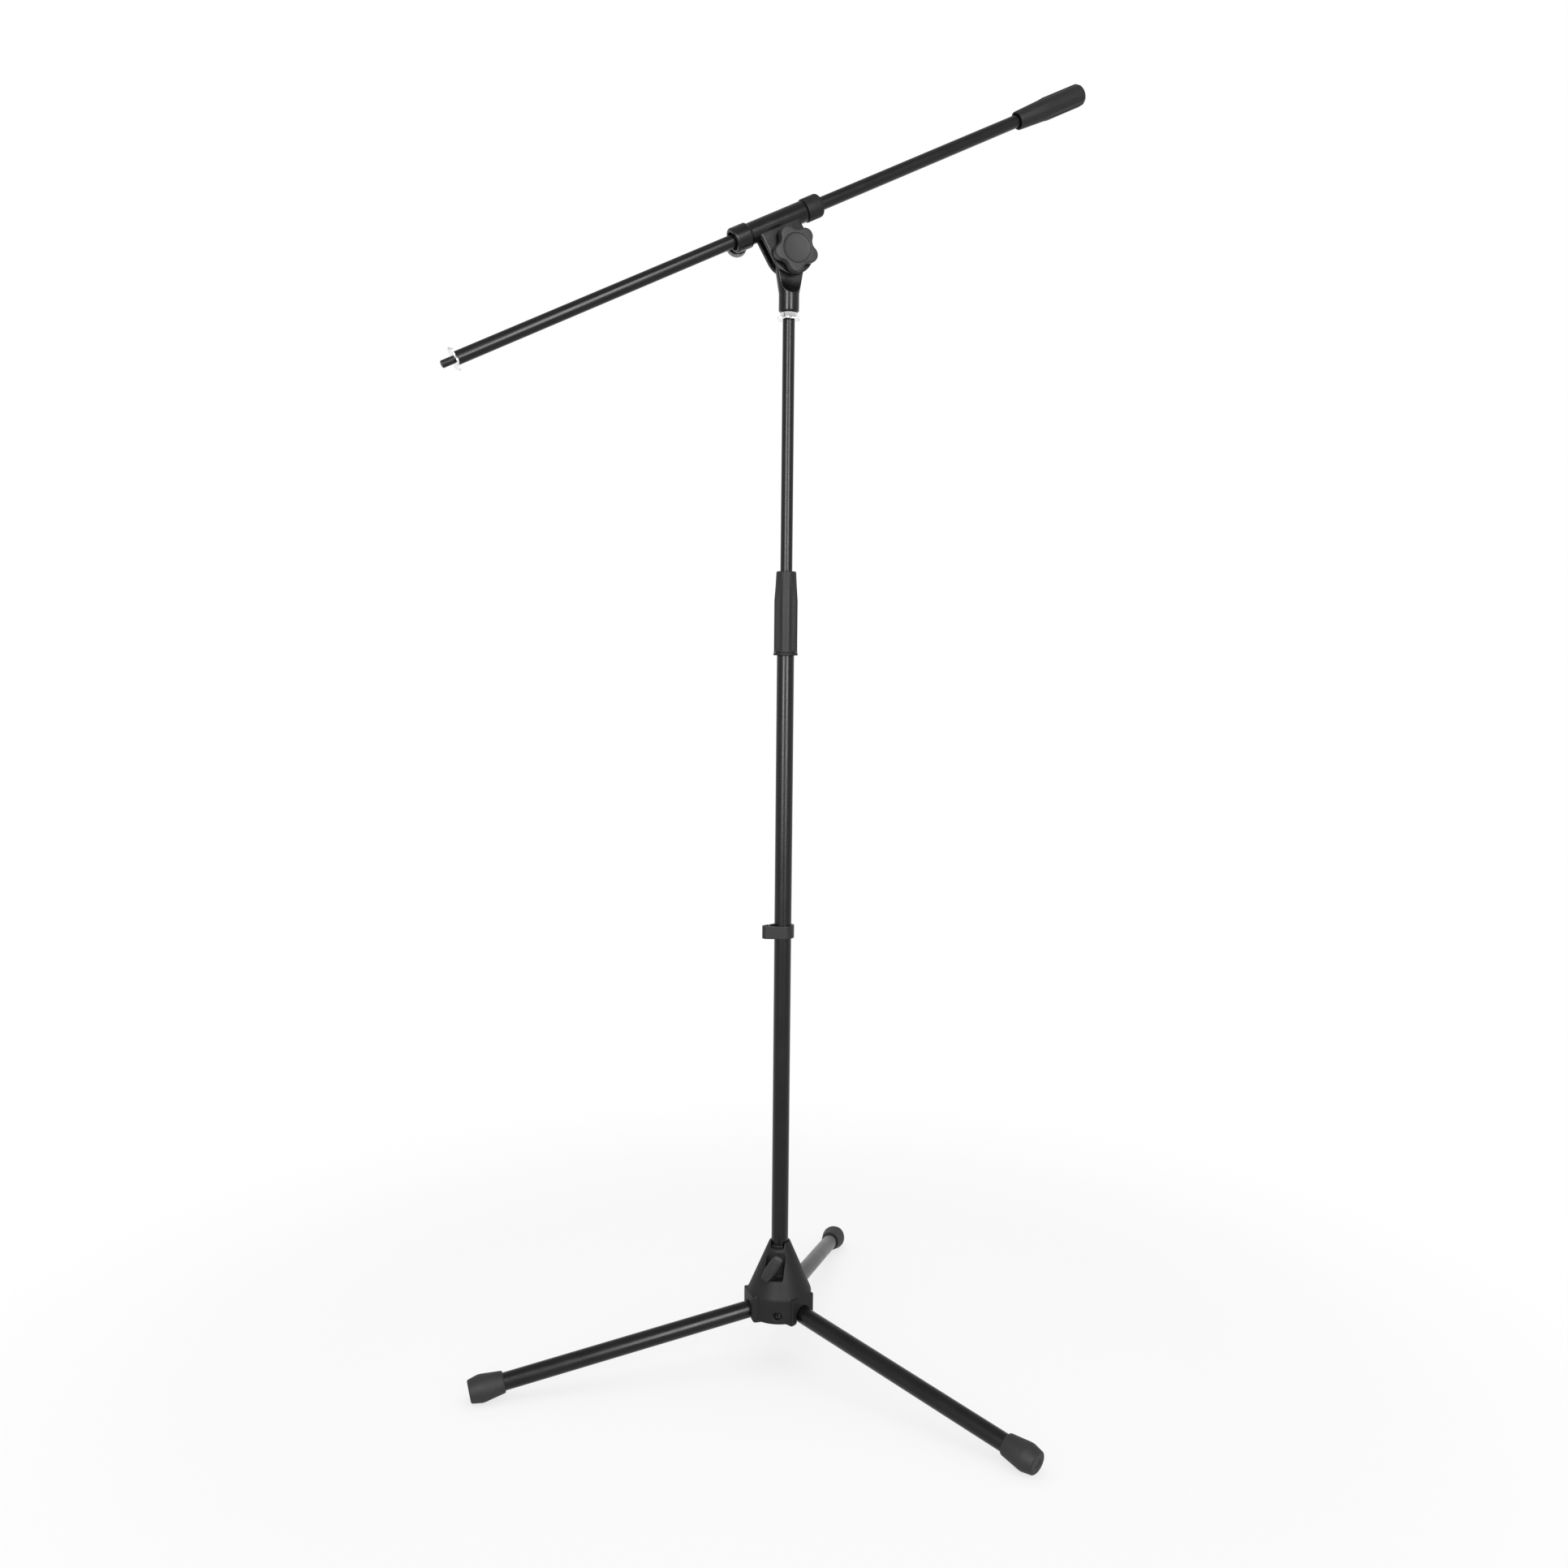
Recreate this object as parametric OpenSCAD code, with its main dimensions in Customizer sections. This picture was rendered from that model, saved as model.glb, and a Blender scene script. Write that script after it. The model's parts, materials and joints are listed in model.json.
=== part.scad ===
// Boom microphone stand: a folding tripod base, a telescopic mast with a twist clutch, and a
// counterweighted boom on a tilting head. +Z is up, the floor is z = 0, the mast stands on the Z axis,
// and the low end of the boom points along -X, over the left leg.

/* [Tripod legs] */
// Outside diameter of a leg tube
leg_tube_d = 22; // [20:0.5:24]
// Wall of a leg tube
leg_tube_wall = 1.2; // [0.8:0.1:2]
// From a leg's pivot to the neck of its foot
leg_reach = 339.3; // [250:0.1:420]
// Slope of a spread leg below level, in degrees
leg_slope = 9.7; // [6:0.1:14]
// From the mast's axis to a leg's pivot
leg_pivot_r = 26; // [25:0.5:29]
// How deep the hinge plug sits in its leg tube
hinge_spigot = 30; // [15:1:60]
// Diameter of a pivot bolt's shank
pivot_bolt_d = 5; // [4:0.5:7]
// Across the flats of a pivot bolt's head
pivot_head_af = 8; // [7:0.5:11]

/* [Rubber feet] */
// Length of a foot
foot_len = 44; // [38:1:60]
// From a foot's neck to its widest ring
foot_swell = 29; // [20:1:32]
// Diameter at the widest ring
foot_d = 34.4; // [31:0.2:42]
// Diameter of the end face
foot_end_d = 27; // [22:0.5:30]
// Rubber round the tube at the neck
foot_neck_wall = 2.7; // [1.5:0.1:3.5]
// Rubber beyond the end of the tube
foot_end_wall = 12; // [6:1:20]
// Depth of the flat worn where a foot meets the floor
foot_flat = 0.6; // [0.3:0.1:1]

/* [Base housing] */
// Diameter of the skirt
skirt_d = 84; // [82:1:92]
// Height of the skirt
skirt_h = 31.5; // [28:0.5:40]
// Height of the cone above the skirt
cone_h = 65.5; // [58:0.5:75]
// Wall round the mast at the top rim
rim_wall = 3.1; // [1.6:0.1:3.4]
// From the skirt's lower edge up to the leg pivots
pivot_h = 11; // [11:0.5:14]
// How far a leg shroud stands out of the skirt
shroud_proud = 0.6; // [0.4:0.1:3]
// Wall beside the leg in a shroud
shroud_wall = 9; // [6:0.5:10]
// How far a shroud hangs below the skirt
shroud_drop = 4; // [1:0.5:5]
// Radius of a shroud's lower outer edge
shroud_round = 7; // [3:0.5:9]
// Floor under the mast tube
socket_floor = 4; // [3:0.5:8]

/* [Mast clamp] */
// Width of the recess in front of the clamp
recess_w = 25; // [20:0.5:26]
// From the top rim down to the shelf of the recess
recess_h = 43; // [38:0.5:46]
// Width of the notch in the top rim
notch_w = 18; // [13:0.5:20]
// Height of the notch in the top rim
notch_h = 6.5; // [4:0.5:10]
// Thickness of the clamp shoe
shoe_t = 2.3; // [1.5:0.1:3]
// Wall that carries the screw
screw_wall = 5.5; // [3.5:0.1:6]
// From the top rim down to the clamp screw
screw_drop = 25; // [22:0.5:26]
// Diameter of the clamp screw
clamp_screw_d = 8; // [6:0.5:9]
// Tip to tip length of the wing
wing_len = 39; // [34:1:44]
// Width of the wing
wing_w = 15; // [10:0.5:16]
// Thickness of the wing at its tips
wing_tip_t = 5.5; // [3:0.5:10]
// Lean of the wing from upright, in degrees
wing_lean = 32; // [0:1:90]

/* [Mast] */
// Outside diameter of the lower tube
lower_tube_d = 22; // [20:0.5:24]
// Wall of the lower tube
lower_tube_wall = 1.2; // [0.8:0.1:1.6]
// Length of the lower tube
lower_tube_len = 897.5; // [600:0.5:1100]
// Outside diameter of the inner rod
rod_d = 15.2; // [14:0.2:16.4]
// Wall of the inner rod
rod_wall = 1.2; // [0.8:0.1:2]
// Length of the inner rod
rod_len = 780; // [600:1:850]
// Rod that shows above the clutch
rod_out = 311.7; // [150:0.1:450]
// Length of the guide bush at the rod's foot
guide_len = 25; // [15:1:50]
// Diameter of the threaded studs, 3/8 inch
stud_d = 9.52; // [7.9:0.01:10]
// Length of a stud's plug inside its tube
stud_plug = 26; // [15:1:50]

/* [Clutch] */
// Diameter of the fluted grip
clutch_d = 30.5; // [29:0.5:36]
// Diameter of the grip at its top
clutch_top_d = 25; // [23:0.5:28]
// Length of the straight fluted part
clutch_flute_len = 65; // [60:1:90]
// Length of the tapered part
clutch_taper_len = 37.2; // [30:0.2:60]
// Length of tube held in the clutch body
clutch_seat = 37; // [20:1:50]
// Thickness of the ring below the grip
clutch_ring_t = 3.6; // [2:0.2:8]
// Flutes round a grip
flute_n = 12; // [11:1:24]
// Depth of a flute
flute_depth = 0.8; // [0.7:0.1:1.2]

/* [Cable clip] */
// Height of the clip
clip_h = 16.5; // [8:0.5:30]
// Wall of the clip
clip_wall = 3.6; // [2:0.1:4.5]
// From the mast's axis to the centre of the cable loop
clip_reach = 21.5; // [18:0.5:28]
// Inner radius at the end of the cable loop
clip_loop_r = 3; // [2:0.2:6]
// Gap through which a cable is pressed in
clip_slit = 1.6; // [0.8:0.2:4]
// Height of the clip above the base
clip_up = 403.7; // [20:0.1:600]

/* [Head] */
// Diameter of the lock nuts across their lobes
nut_d = 30.6; // [26:0.2:36]
// Thickness of a lock nut's disc
nut_t = 2.4; // [2:0.1:5]
// Height of the lock nut's hub under the head
nut_hub_h = 7.1; // [3:0.1:10]
// Diameter of the head's socket
socket_d = 25.6; // [22:0.2:28]
// Height of the socket's round part
socket_h = 22; // [20:0.5:40]
// From the socket's lower face up to the tilt axis
tilt_up = 72.4; // [66:0.2:90]
// Radius of the swivel's eye
eye_r = 21; // [18:0.5:24]
// Thickness of the swivel's eye
eye_t = 11; // [8:0.5:14]
// Thickness of a friction washer
washer_t = 1; // [0.6:0.1:2]
// Thickness of a cheek of the boom holder
cheek_t = 5; // [4:0.5:7]
// Radius of a cheek round the tilt axis
cheek_r = 28.5; // [25:0.5:31]
// Diameter of the tilt bolt
tilt_bolt_d = 8; // [6:0.5:10]
// Across the flats of the tilt bolt's head
tilt_head_af = 13; // [11:0.5:17]
// Diameter of the star knob across its lobes
knob_d = 58; // [48:0.5:62]
// Thickness of the star knob's lobes
knob_t = 12; // [8:0.5:20]
// Height of the hub behind the lobes
knob_hub_h = 2.5; // [2:0.5:8]

/* [Boom] */
// Angle of the boom above level, in degrees
boom_tilt = 26.6; // [0:0.1:60]
// From the tilt axis to the boom's axis
boom_drop = 38.7; // [37:0.1:55]
// Outside diameter of the boom tube
boom_d = 16.2; // [14:0.2:18]
// Wall of the boom tube
boom_wall = 1.2; // [0.8:0.1:2]
// From the tilt axis to the boom tube's low end
boom_low = 442.6; // [250:0.1:600]
// From the tilt axis to the counterweight's neck
boom_high = 377; // [200:0.1:500]
// Threaded stud that stands out of the boom
boom_stud_out = 17.9; // [12:0.1:25]
// Diameter of the boom sleeve
sleeve_d = 26.4; // [24:0.2:30]
// From the tilt axis to the sleeve's low end
sleeve_low = 64.8; // [55:0.1:80]
// From the tilt axis to the sleeve's high end
sleeve_high = 63.5; // [62:0.5:90]
// Diameter of the clamp collar at the low end
collar_d = 31; // [30:0.5:38]
// Length of the clamp collar
collar_len = 22.7; // [20:0.1:30]
// Diameter of the guide cap at the high end
cap_d = 29.2; // [29:0.2:36]
// Length of the guide cap
cap_len = 23.2; // [18:0.2:34]
// Diameter of the thumb screw
thumb_screw_d = 6; // [5:0.5:8]
// Diameter of the thumb screw's knurled head
thumb_head_d = 26; // [18:0.5:30]
// Thickness of the thumb screw's head
thumb_head_t = 7; // [4:0.5:12]
// Lean of the thumb screw below the side of the boom, in degrees
thumb_lean = 14; // [0:1:30]

/* [Counterweight] */
// Diameter of the neck
weight_neck_d = 23.5; // [23:0.5:28]
// Diameter of the fluted grip
weight_d = 29; // [28.5:0.5:36]
// Length of the conical neck
weight_neck_len = 42; // [30:0.1:60]
// Length of the fluted grip
weight_grip_len = 66.5; // [50:0.5:120]
// Wall round the steel core
weight_wall = 3.9; // [2.5:0.1:5]

/* [Fits] */
// Radial running clearance of sliding and turning pieces
run_fit = 0.06; // [0.02:0.01:0.1]
// Gap between faces of pieces that move past each other
face_gap = 0.3; // [0.2:0.05:0.5]
// Radial clearance of a fixed piece in its seat
seat_fit = 0.03; // [0.01:0.01:0.05]

/* [Hidden] */
$fn = 72;

// Leg azimuths: left, right and rear, and the azimuth of the recess between left and right
leg_angles = [175.8, 295.8, 55.8];
recess_angle = 232.5;

// Tripod, from the floor up
leg_r = leg_tube_d / 2;
leg_bore_r = leg_r - leg_tube_wall;
foot_r = foot_d / 2;
ring_x = leg_reach + foot_swell;
pivot_z = ring_x * sin(leg_slope) + foot_r * cos(leg_slope) - foot_flat;
slot_r = leg_r + face_gap;
leg_gap = 3;
leg_start = leg_r + leg_gap;

// Base housing
skirt_r = skirt_d / 2;
tube_r = lower_tube_d / 2;
tube_bore_r = tube_r - lower_tube_wall;
skirt_z = pivot_z - pivot_h;
crease_z = skirt_z + skirt_h;
rim_z = crease_z + cone_h;
rim_r = tube_r + rim_wall;
shroud_face = skirt_r + shroud_proud;
shroud_w = leg_tube_d + 2 * shroud_wall;
shroud_top_rise = 1;
pivot_bolt_r = pivot_bolt_d / 2;
pivot_head_t = 4;
pivot_head_sink = 2;
pivot_bolt_bite = 12;
pivot_head_s = sqrt(skirt_r * skirt_r - leg_pivot_r * leg_pivot_r) - pivot_head_sink - pivot_head_t;

// Mast clamp, measured out from the mast's axis
shoe_out = tube_r + seat_fit + shoe_t;
panel_x = shoe_out + seat_fit + screw_wall;
seat_proud = 0.6;
seat_wall = 1;
panel_r = panel_x - seat_proud;
shelf_z = rim_z - recess_h;
notch_z = rim_z - notch_h;
screw_z = rim_z - screw_drop;
clamp_screw_r = clamp_screw_d / 2;
insert_flange_t = 1.5;
shoe_half_angle = 35;
shoe_foot = 9;
shoe_inset = 3;
shoe_z = screw_z - shoe_foot;
shoe_top_z = rim_z - shoe_inset;
wing_clear = 1.2;
wing_tip_x = cone_r(screw_z - wing_len / 2) + wing_clear;
wing_front_x = wing_tip_x + wing_tip_t;
wing_hub_wall = 2.6;
wing_hub_r = clamp_screw_r + wing_hub_wall;
wing_root_x = panel_x + insert_flange_t + face_gap;

// Mast
tube_z = skirt_z + socket_floor;
tube_top_z = tube_z + lower_tube_len;
clutch_z = tube_top_z - clutch_seat;
grip_z = clutch_z + clutch_ring_t + face_gap;
taper_z = grip_z + clutch_flute_len;
grip_top_z = taper_z + clutch_taper_len;
clutch_rest = 8.4;
flute_share = 0.88;
clutch_r = clutch_d / 2;
thread_wall = 1.4;
thread_len = 20;
thread_r = tube_r + thread_wall;
thread_top_z = tube_top_z + thread_len;
collet_z = thread_top_z + face_gap;
collet_h = 24;
rod_r = rod_d / 2;
rod_bore_r = rod_r - rod_wall;
rod_top_z = grip_top_z + rod_out;
rod_z = rod_top_z - rod_len;
stud_r = stud_d / 2;
clip_z = rim_z + clip_up;

// Head
nut_r = nut_d / 2;
nut_z = rod_top_z + face_gap;
socket_z = nut_z + nut_t + nut_hub_h + face_gap;
socket_r = socket_d / 2;
socket_top_z = socket_z + socket_h;
stud_bite = 16;
tilt_z = socket_z + tilt_up;
cheek_room = 4.5;
neck_top_z = tilt_z - cheek_r - cheek_room;
flare_drop = 18;
flare_out = 5.4;
flare_z = tilt_z - flare_drop;
flare_r = socket_r + flare_out;
washer_y = eye_t / 2 + seat_fit;
cheek_y = washer_y + washer_t + seat_fit;
cheek_out_y = cheek_y + cheek_t;
knob_y = cheek_out_y + face_gap;
knob_r = knob_d / 2;
tilt_bolt_r = tilt_bolt_d / 2;
tilt_head_t = 5.5;
tilt_head_sink = 2;

// Boom, along local +X from the foot of the tilt axis
boom_r = boom_d / 2;
boom_bore_r = boom_r - boom_wall;
sleeve_r = sleeve_d / 2;
sleeve_bore_r = boom_r + run_fit;
collar_r = collar_d / 2;
cap_r = cap_d / 2;
cap_seat_len = 7;
cap_seat_sink = 0.8;
fin_low = -31.5;
fin_high = 23.5;
thumb_x = -sleeve_low + collar_len / 2;
thumb_r = thumb_screw_d / 2;
boss_wall = 4;
boss_out = 3.5;
boss_r = thumb_r + boss_wall;
boss_y = collar_r + boss_out;
pad_t = 2;
pad_y = boom_r + face_gap;
screw_tip_y = pad_y + pad_t + face_gap;
weight_step = boom_high + weight_neck_len;
weight_end = weight_step + weight_grip_len;
weight_r = weight_d / 2;
core_r = weight_r - weight_wall;
core_inset = 7;
core_x = weight_step + core_inset;
core_end = weight_end - core_inset;

// Radius of the base's cone at height z
function cone_r(z) = skirt_r + (rim_r - skirt_r) * (z - crease_z) / cone_h;

// Touching point, on a circle of radius r at the origin, of a line from point p; side is 1 or -1
function tangent(p, r, side) =
    let (a = atan2(p[1], p[0]) + side * acos(r / norm(p)))
    [r * cos(a), r * sin(a)];

// Places children on leg i: its pivot at the origin, the leg along +X
module on_leg(i) {
    rotate([0, 0, leg_angles[i]])
        translate([leg_pivot_r, 0, pivot_z])
            rotate([0, leg_slope, 0])
                children();
}

// Places children on the clamp screw: +X points out of the recess
module on_clamp() {
    rotate([0, 0, recess_angle])
        translate([0, 0, screw_z])
            children();
}

// Places children on the boom: the tilt axis is local Y and the boom runs along +X at z = boom_drop
module on_head() {
    translate([0, 0, tilt_z])
        rotate([0, -boom_tilt, 0])
            children();
}

// Places children on the boom's own axis
module on_boom() {
    on_head()
        translate([0, 0, boom_drop])
            children();
}

// Places children on the thumb screw, inside the boom's frame: +Y points out of the collar
module at_thumb() {
    translate([thumb_x, 0, 0])
        rotate([-thumb_lean, 0, 0])
            children();
}

// Rod of radius r along X from x0 to x1
module rod_x(r, x0, x1) {
    translate([x0, 0, 0])
        rotate([0, 90, 0])
            cylinder(r = r, h = x1 - x0);
}

// Rod of radius r along Y from y0 to y1
module rod_y(r, y0, y1) {
    translate([0, y0, 0])
        rotate([-90, 0, 0])
            cylinder(r = r, h = y1 - y0);
}

// Upright rod of radius r from z0 to z1
module rod_z(r, z0, z1) {
    translate([0, 0, z0])
        cylinder(r = r, h = z1 - z0);
}

// Solid turned about X from a profile of [x, radius] points
module turned_x(profile) {
    rotate([0, 90, 0])
        rotate_extrude()
            polygon([for (p = profile) [p[1], p[0]]]);
}

// Solid turned about Z from a profile of [radius, z] points
module turned_z(profile) {
    rotate_extrude()
        polygon(profile);
}

// Upright face with rounded corners: width along Y, from z0 to z1, seen along X
module rounded_face(w, z0, z1, low_r, top_r) {
    translate([z0 + low_r, -w / 2])
        square([z1 - z0 - low_r - top_r, w]);
    for (y = [-1, 1]) {
        translate([z0 + low_r, y * (w / 2 - low_r)])
            circle(r = low_r);
        translate([z1 - top_r, y * (w / 2 - top_r)])
            circle(r = top_r);
    }
    translate([z0, -w / 2 + low_r])
        square([z1 - z0, w - 2 * low_r]);
    translate([(z0 + z1) / 2, -w / 2 + top_r])
        square([(z1 - z0) / 2, w - 2 * top_r]);
}

// Round outline with n lobes: circles of radius lobe_r joined by hollow arcs of radius dip_r
module lobed_outline(n, outer_r, lobe_r, dip_r) {
    lobe_at = outer_r - lobe_r;
    dip_at = lobe_at * cos(180 / n)
        + sqrt(pow(lobe_r + dip_r, 2) - pow(lobe_at * sin(180 / n), 2));
    difference() {
        union() {
            polygon([
                for (k = [0:2 * n - 1])
                    let (r = k % 2 == 0 ? lobe_at : dip_at)
                    [r * cos(180 * k / n), r * sin(180 * k / n)]
            ]);
            for (k = [0:n - 1])
                rotate(360 * k / n)
                    translate([lobe_at, 0])
                        circle(r = lobe_r);
        }
        for (k = [0:n - 1])
            rotate(360 * (k + 0.5) / n)
                translate([dip_at, 0])
                    circle(r = dip_r);
    }
}

// Outline of a loop that narrows from radius r0 at the origin to radius r1 at x = -reach
module drop_outline(r0, r1, reach) {
    lean = asin((r0 - r1) / reach);
    circle(r = r0);
    translate([-reach, 0])
        circle(r = r1);
    polygon([
        [-r0 * sin(lean), r0 * cos(lean)],
        [-reach - r1 * sin(lean), r1 * cos(lean)],
        [-reach - r1 * sin(lean), -r1 * cos(lean)],
        [-r0 * sin(lean), -r0 * cos(lean)]
    ]);
}

// Radius of a flute's hollow on a grip of radius r: each flute takes most of its share of the turn
function hollow_r(r) =
    let (half = flute_share * 180 / flute_n, fall = flute_depth - r * (1 - cos(half)))
    (fall * fall + pow(r * sin(half), 2)) / (2 * fall);

// Cutters for the flutes of a grip of radius r about Z: they start at z0, run for len and lean inwards
module flutes(r, z0, len, lean = 0) {
    over = 4;
    for (k = [0:flute_n - 1])
        rotate([0, 0, 360 * k / flute_n])
            translate([r + hollow_r(r) - flute_depth, 0, z0])
                rotate([0, -lean, 0])
                    rod_z(hollow_r(r), lean > 0 ? -over : 0, len);
}

// Room for leg i: an arched slot that is open below, so that the leg folds down
module leg_slot(i) {
    flare = 1.2;
    half_w = slot_r - 0.05;
    eye_room = slot_r + 0.15;
    eye_side = 0.4;
    on_leg(i) {
        rod_x(slot_r, 0, 2 * leg_r + leg_start);
        rod_x(slot_r + flare, (shroud_face - leg_pivot_r) / cos(leg_slope) - 2.5, 2 * skirt_r);
        rod_y(eye_room, -half_w - eye_side, half_w + eye_side);
    }
    rotate([0, 0, leg_angles[i]])
        translate([leg_pivot_r - slot_r + 0.1, -half_w, skirt_z - 2 * pivot_h])
            cube([skirt_r, 2 * half_w, 3 * pivot_h - 2]);
}

// Bore and hexagonal pocket for the pivot bolt of leg i
module pivot_bolt_hole(i) {
    head_room = 0.7;
    on_leg(i) {
        rod_y(pivot_bolt_r + seat_fit, -pivot_head_s, slot_r + pivot_bolt_bite);
        translate([0, -pivot_head_s, 0])
            rotate([90, 0, 0])
                cylinder(d = pivot_head_af / cos(30) + 2 * head_room, h = skirt_r, $fn = 6);
    }
}

// Recess, notch and bores of the mast clamp
module clamp_cuts() {
    rotate([0, 0, recess_angle]) {
        difference() {
            translate([0, -recess_w / 2, shelf_z])
                cube([skirt_r + panel_x, recess_w, recess_h + 1]);
            rod_z(panel_r, shelf_z - 1, rim_z + 2);
            translate([0, 0, screw_z])
                rod_x(wing_hub_r + seat_wall, 0, panel_x);
        }
        translate([0, -notch_w / 2, notch_z])
            cube([skirt_r, notch_w, notch_h + 1]);
        translate([(panel_x + cone_r(shelf_z)) / 2, 0, 0])
            rod_z(3, shelf_z - 8, shelf_z + 1);
        shoe_sector(tube_r, shoe_out + seat_fit, shoe_z - seat_fit, rim_z + 1, shoe_half_angle + 0.5);
    }
    on_clamp()
        rod_x(clamp_screw_r + 2 + seat_fit, tube_r, panel_x + 1);
}

// Part of an upright ring, about +X, between radii r0 and r1
module shoe_sector(r0, r1, z0, z1, half_angle) {
    translate([0, 0, z0])
        rotate([0, 0, -half_angle])
            rotate_extrude(angle = 2 * half_angle)
                translate([r0, 0])
                    square([r1 - r0, z1 - z0]);
}

// Shallow core between two leg slots, on the underside
module under_pocket(azimuth) {
    wall = 4;
    depth = pivot_h - pivot_bolt_r - 3;
    rotate([0, 0, azimuth])
        shoe_sector(tube_r + 2 * wall, skirt_r - wall, skirt_z - 1, skirt_z + depth, 17);
}

// Block round a leg's hinge, along +X: its lower outer edge and its upright edges are rounded
module leg_shroud() {
    low_z = skirt_z - shroud_drop;
    top_z = crease_z + shroud_top_rise;
    length = leg_pivot_r - tube_r + shroud_wall;
    intersection() {
        translate([shroud_face, 0, 0])
            rotate([0, -90, 0])
                linear_extrude(length)
                    rounded_face(shroud_w, low_z, top_z, shroud_wall / 2, 2);
        rotate([90, 0, 0])
            linear_extrude(shroud_w + 2, center = true) {
                translate([0, low_z + shroud_round])
                    square([shroud_face + 1, top_z - low_z]);
                square([shroud_face - shroud_round, top_z]);
                translate([shroud_face - shroud_round, low_z + shroud_round])
                    circle(r = shroud_round);
            }
    }
}

module base_housing() {
    edge = 1.2;
    color([0.16, 0.16, 0.17])
        difference() {
            union() {
                turned_z([
                    [0, skirt_z], [skirt_r - edge, skirt_z], [skirt_r, skirt_z + edge],
                    [skirt_r, crease_z - edge], [cone_r(crease_z + edge), crease_z + edge],
                    [rim_r, rim_z - edge], [rim_r - edge / 2, rim_z], [0, rim_z]
                ]);
                for (a = leg_angles)
                    rotate([0, 0, a])
                        leg_shroud();
            }
            rod_z(tube_r + seat_fit, tube_z, rim_z + 1);
            for (i = [0:2]) {
                leg_slot(i);
                pivot_bolt_hole(i);
                under_pocket(leg_angles[i] + 60);
            }
            clamp_cuts();
        }
}

module mast_clamp_shoe() {
    color([0.1, 0.1, 0.1])
        rotate([0, 0, recess_angle])
            shoe_sector(tube_r + seat_fit, shoe_out, shoe_z, shoe_top_z, shoe_half_angle);
}

module clamp_screw_insert() {
    color([0.72, 0.6, 0.32])
        on_clamp()
            difference() {
                union() {
                    rod_x(clamp_screw_r + 2, shoe_out + face_gap, panel_x + insert_flange_t);
                    rod_x(wing_hub_r - 0.1, panel_x, panel_x + insert_flange_t);
                }
                rod_x(clamp_screw_r + run_fit, tube_r, panel_x + 2 * insert_flange_t);
            }
}

module wing_screw() {
    leaf_len = wing_len * 1.6;
    leaf_r = (leaf_len * leaf_len + wing_w * wing_w) / (4 * wing_w);
    tip_r = wing_len / 2;
    bevel = 3.2;
    color([0.2, 0.2, 0.21])
        on_clamp() {
            rod_x(clamp_screw_r, shoe_out + face_gap, wing_root_x + 1);
            turned_x([
                [wing_root_x, 0], [wing_root_x, wing_hub_r], [wing_tip_x - 3, wing_hub_r - 1],
                [wing_tip_x - 3, 0]
            ]);
            intersection() {
                rotate([-wing_lean, 0, 0])
                    rotate([0, 90, 0])
                        linear_extrude(wing_front_x)
                            intersection() {
                                translate([0, leaf_r - wing_w / 2])
                                    circle(r = leaf_r);
                                translate([0, wing_w / 2 - leaf_r])
                                    circle(r = leaf_r);
                            }
                rotate([-wing_lean, 0, 0])
                    linear_extrude(2 * wing_len, center = true)
                        polygon([
                            [0, -wing_w], [wing_front_x - bevel, -wing_w / 2],
                            [wing_front_x, -wing_w / 2 + bevel], [wing_front_x, wing_w / 2 - bevel],
                            [wing_front_x - bevel, wing_w / 2], [0, wing_w]
                        ]);
                turned_x([
                    [wing_root_x + 6, 0], [wing_root_x + 6, 1], [wing_tip_x, tip_r],
                    [wing_front_x - bevel, tip_r],
                    [wing_front_x, tip_r - bevel], [wing_front_x, 0]
                ]);
            }
        }
}

module leg_pivot_bolts() {
    color([0.25, 0.25, 0.26])
        for (i = [0:2])
            on_leg(i) {
                rod_y(pivot_bolt_r, -pivot_head_s - 1, slot_r + pivot_bolt_bite - face_gap);
                translate([0, -pivot_head_s, 0])
                    rotate([90, 0, 0])
                        cylinder(d = pivot_head_af / cos(30), h = pivot_head_t, $fn = 6);
            }
}

module leg_tube(i) {
    color([0.12, 0.12, 0.13])
        on_leg(i)
            difference() {
                rod_x(leg_r, leg_start, leg_reach + foot_len - foot_end_wall);
                rod_x(leg_bore_r, leg_start - 1, leg_reach + foot_len);
            }
}

module leg_hinge(i) {
    plug_r = leg_r - 0.1;
    color([0.18, 0.18, 0.18])
        on_leg(i)
            difference() {
                union() {
                    intersection() {
                        rod_x(plug_r, -leg_r, leg_start - seat_fit);
                        union() {
                            rod_y(plug_r, -leg_r, leg_r);
                            translate([0, -leg_r, -leg_r])
                                cube([leg_start, 2 * leg_r, 2 * leg_r]);
                        }
                    }
                    rod_x(leg_bore_r - seat_fit, 0, leg_start + hinge_spigot);
                }
                rod_y(pivot_bolt_r + run_fit, -leg_tube_d, leg_tube_d);
            }
}

module foot(i) {
    neck_r = leg_r + foot_neck_wall;
    end_r = foot_end_d / 2;
    lip = 1.2;
    end_x = leg_reach + foot_len;
    color([0.24, 0.24, 0.25])
        difference() {
            on_leg(i)
                difference() {
                    turned_x([
                        [leg_reach, 0], [leg_reach, neck_r - lip], [leg_reach + lip, neck_r],
                        [ring_x - 3, foot_r - 0.4], [ring_x, foot_r], [ring_x + 2.5, foot_r - 0.5],
                        [end_x - lip, end_r + lip], [end_x, end_r - lip], [end_x, 0]
                    ]);
                    rod_x(leg_r + seat_fit, leg_reach - 1, end_x - foot_end_wall + seat_fit);
                }
            rotate([0, 0, leg_angles[i]])
                translate([0, -foot_d, -foot_d])
                    cube([2 * leg_reach, 2 * foot_d, foot_d]);
        }
}

module lower_mast_tube() {
    color([0.12, 0.12, 0.13])
        difference() {
            rod_z(tube_r, tube_z, tube_top_z);
            rod_z(tube_bore_r, tube_z - 1, tube_top_z + 1);
        }
}

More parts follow.
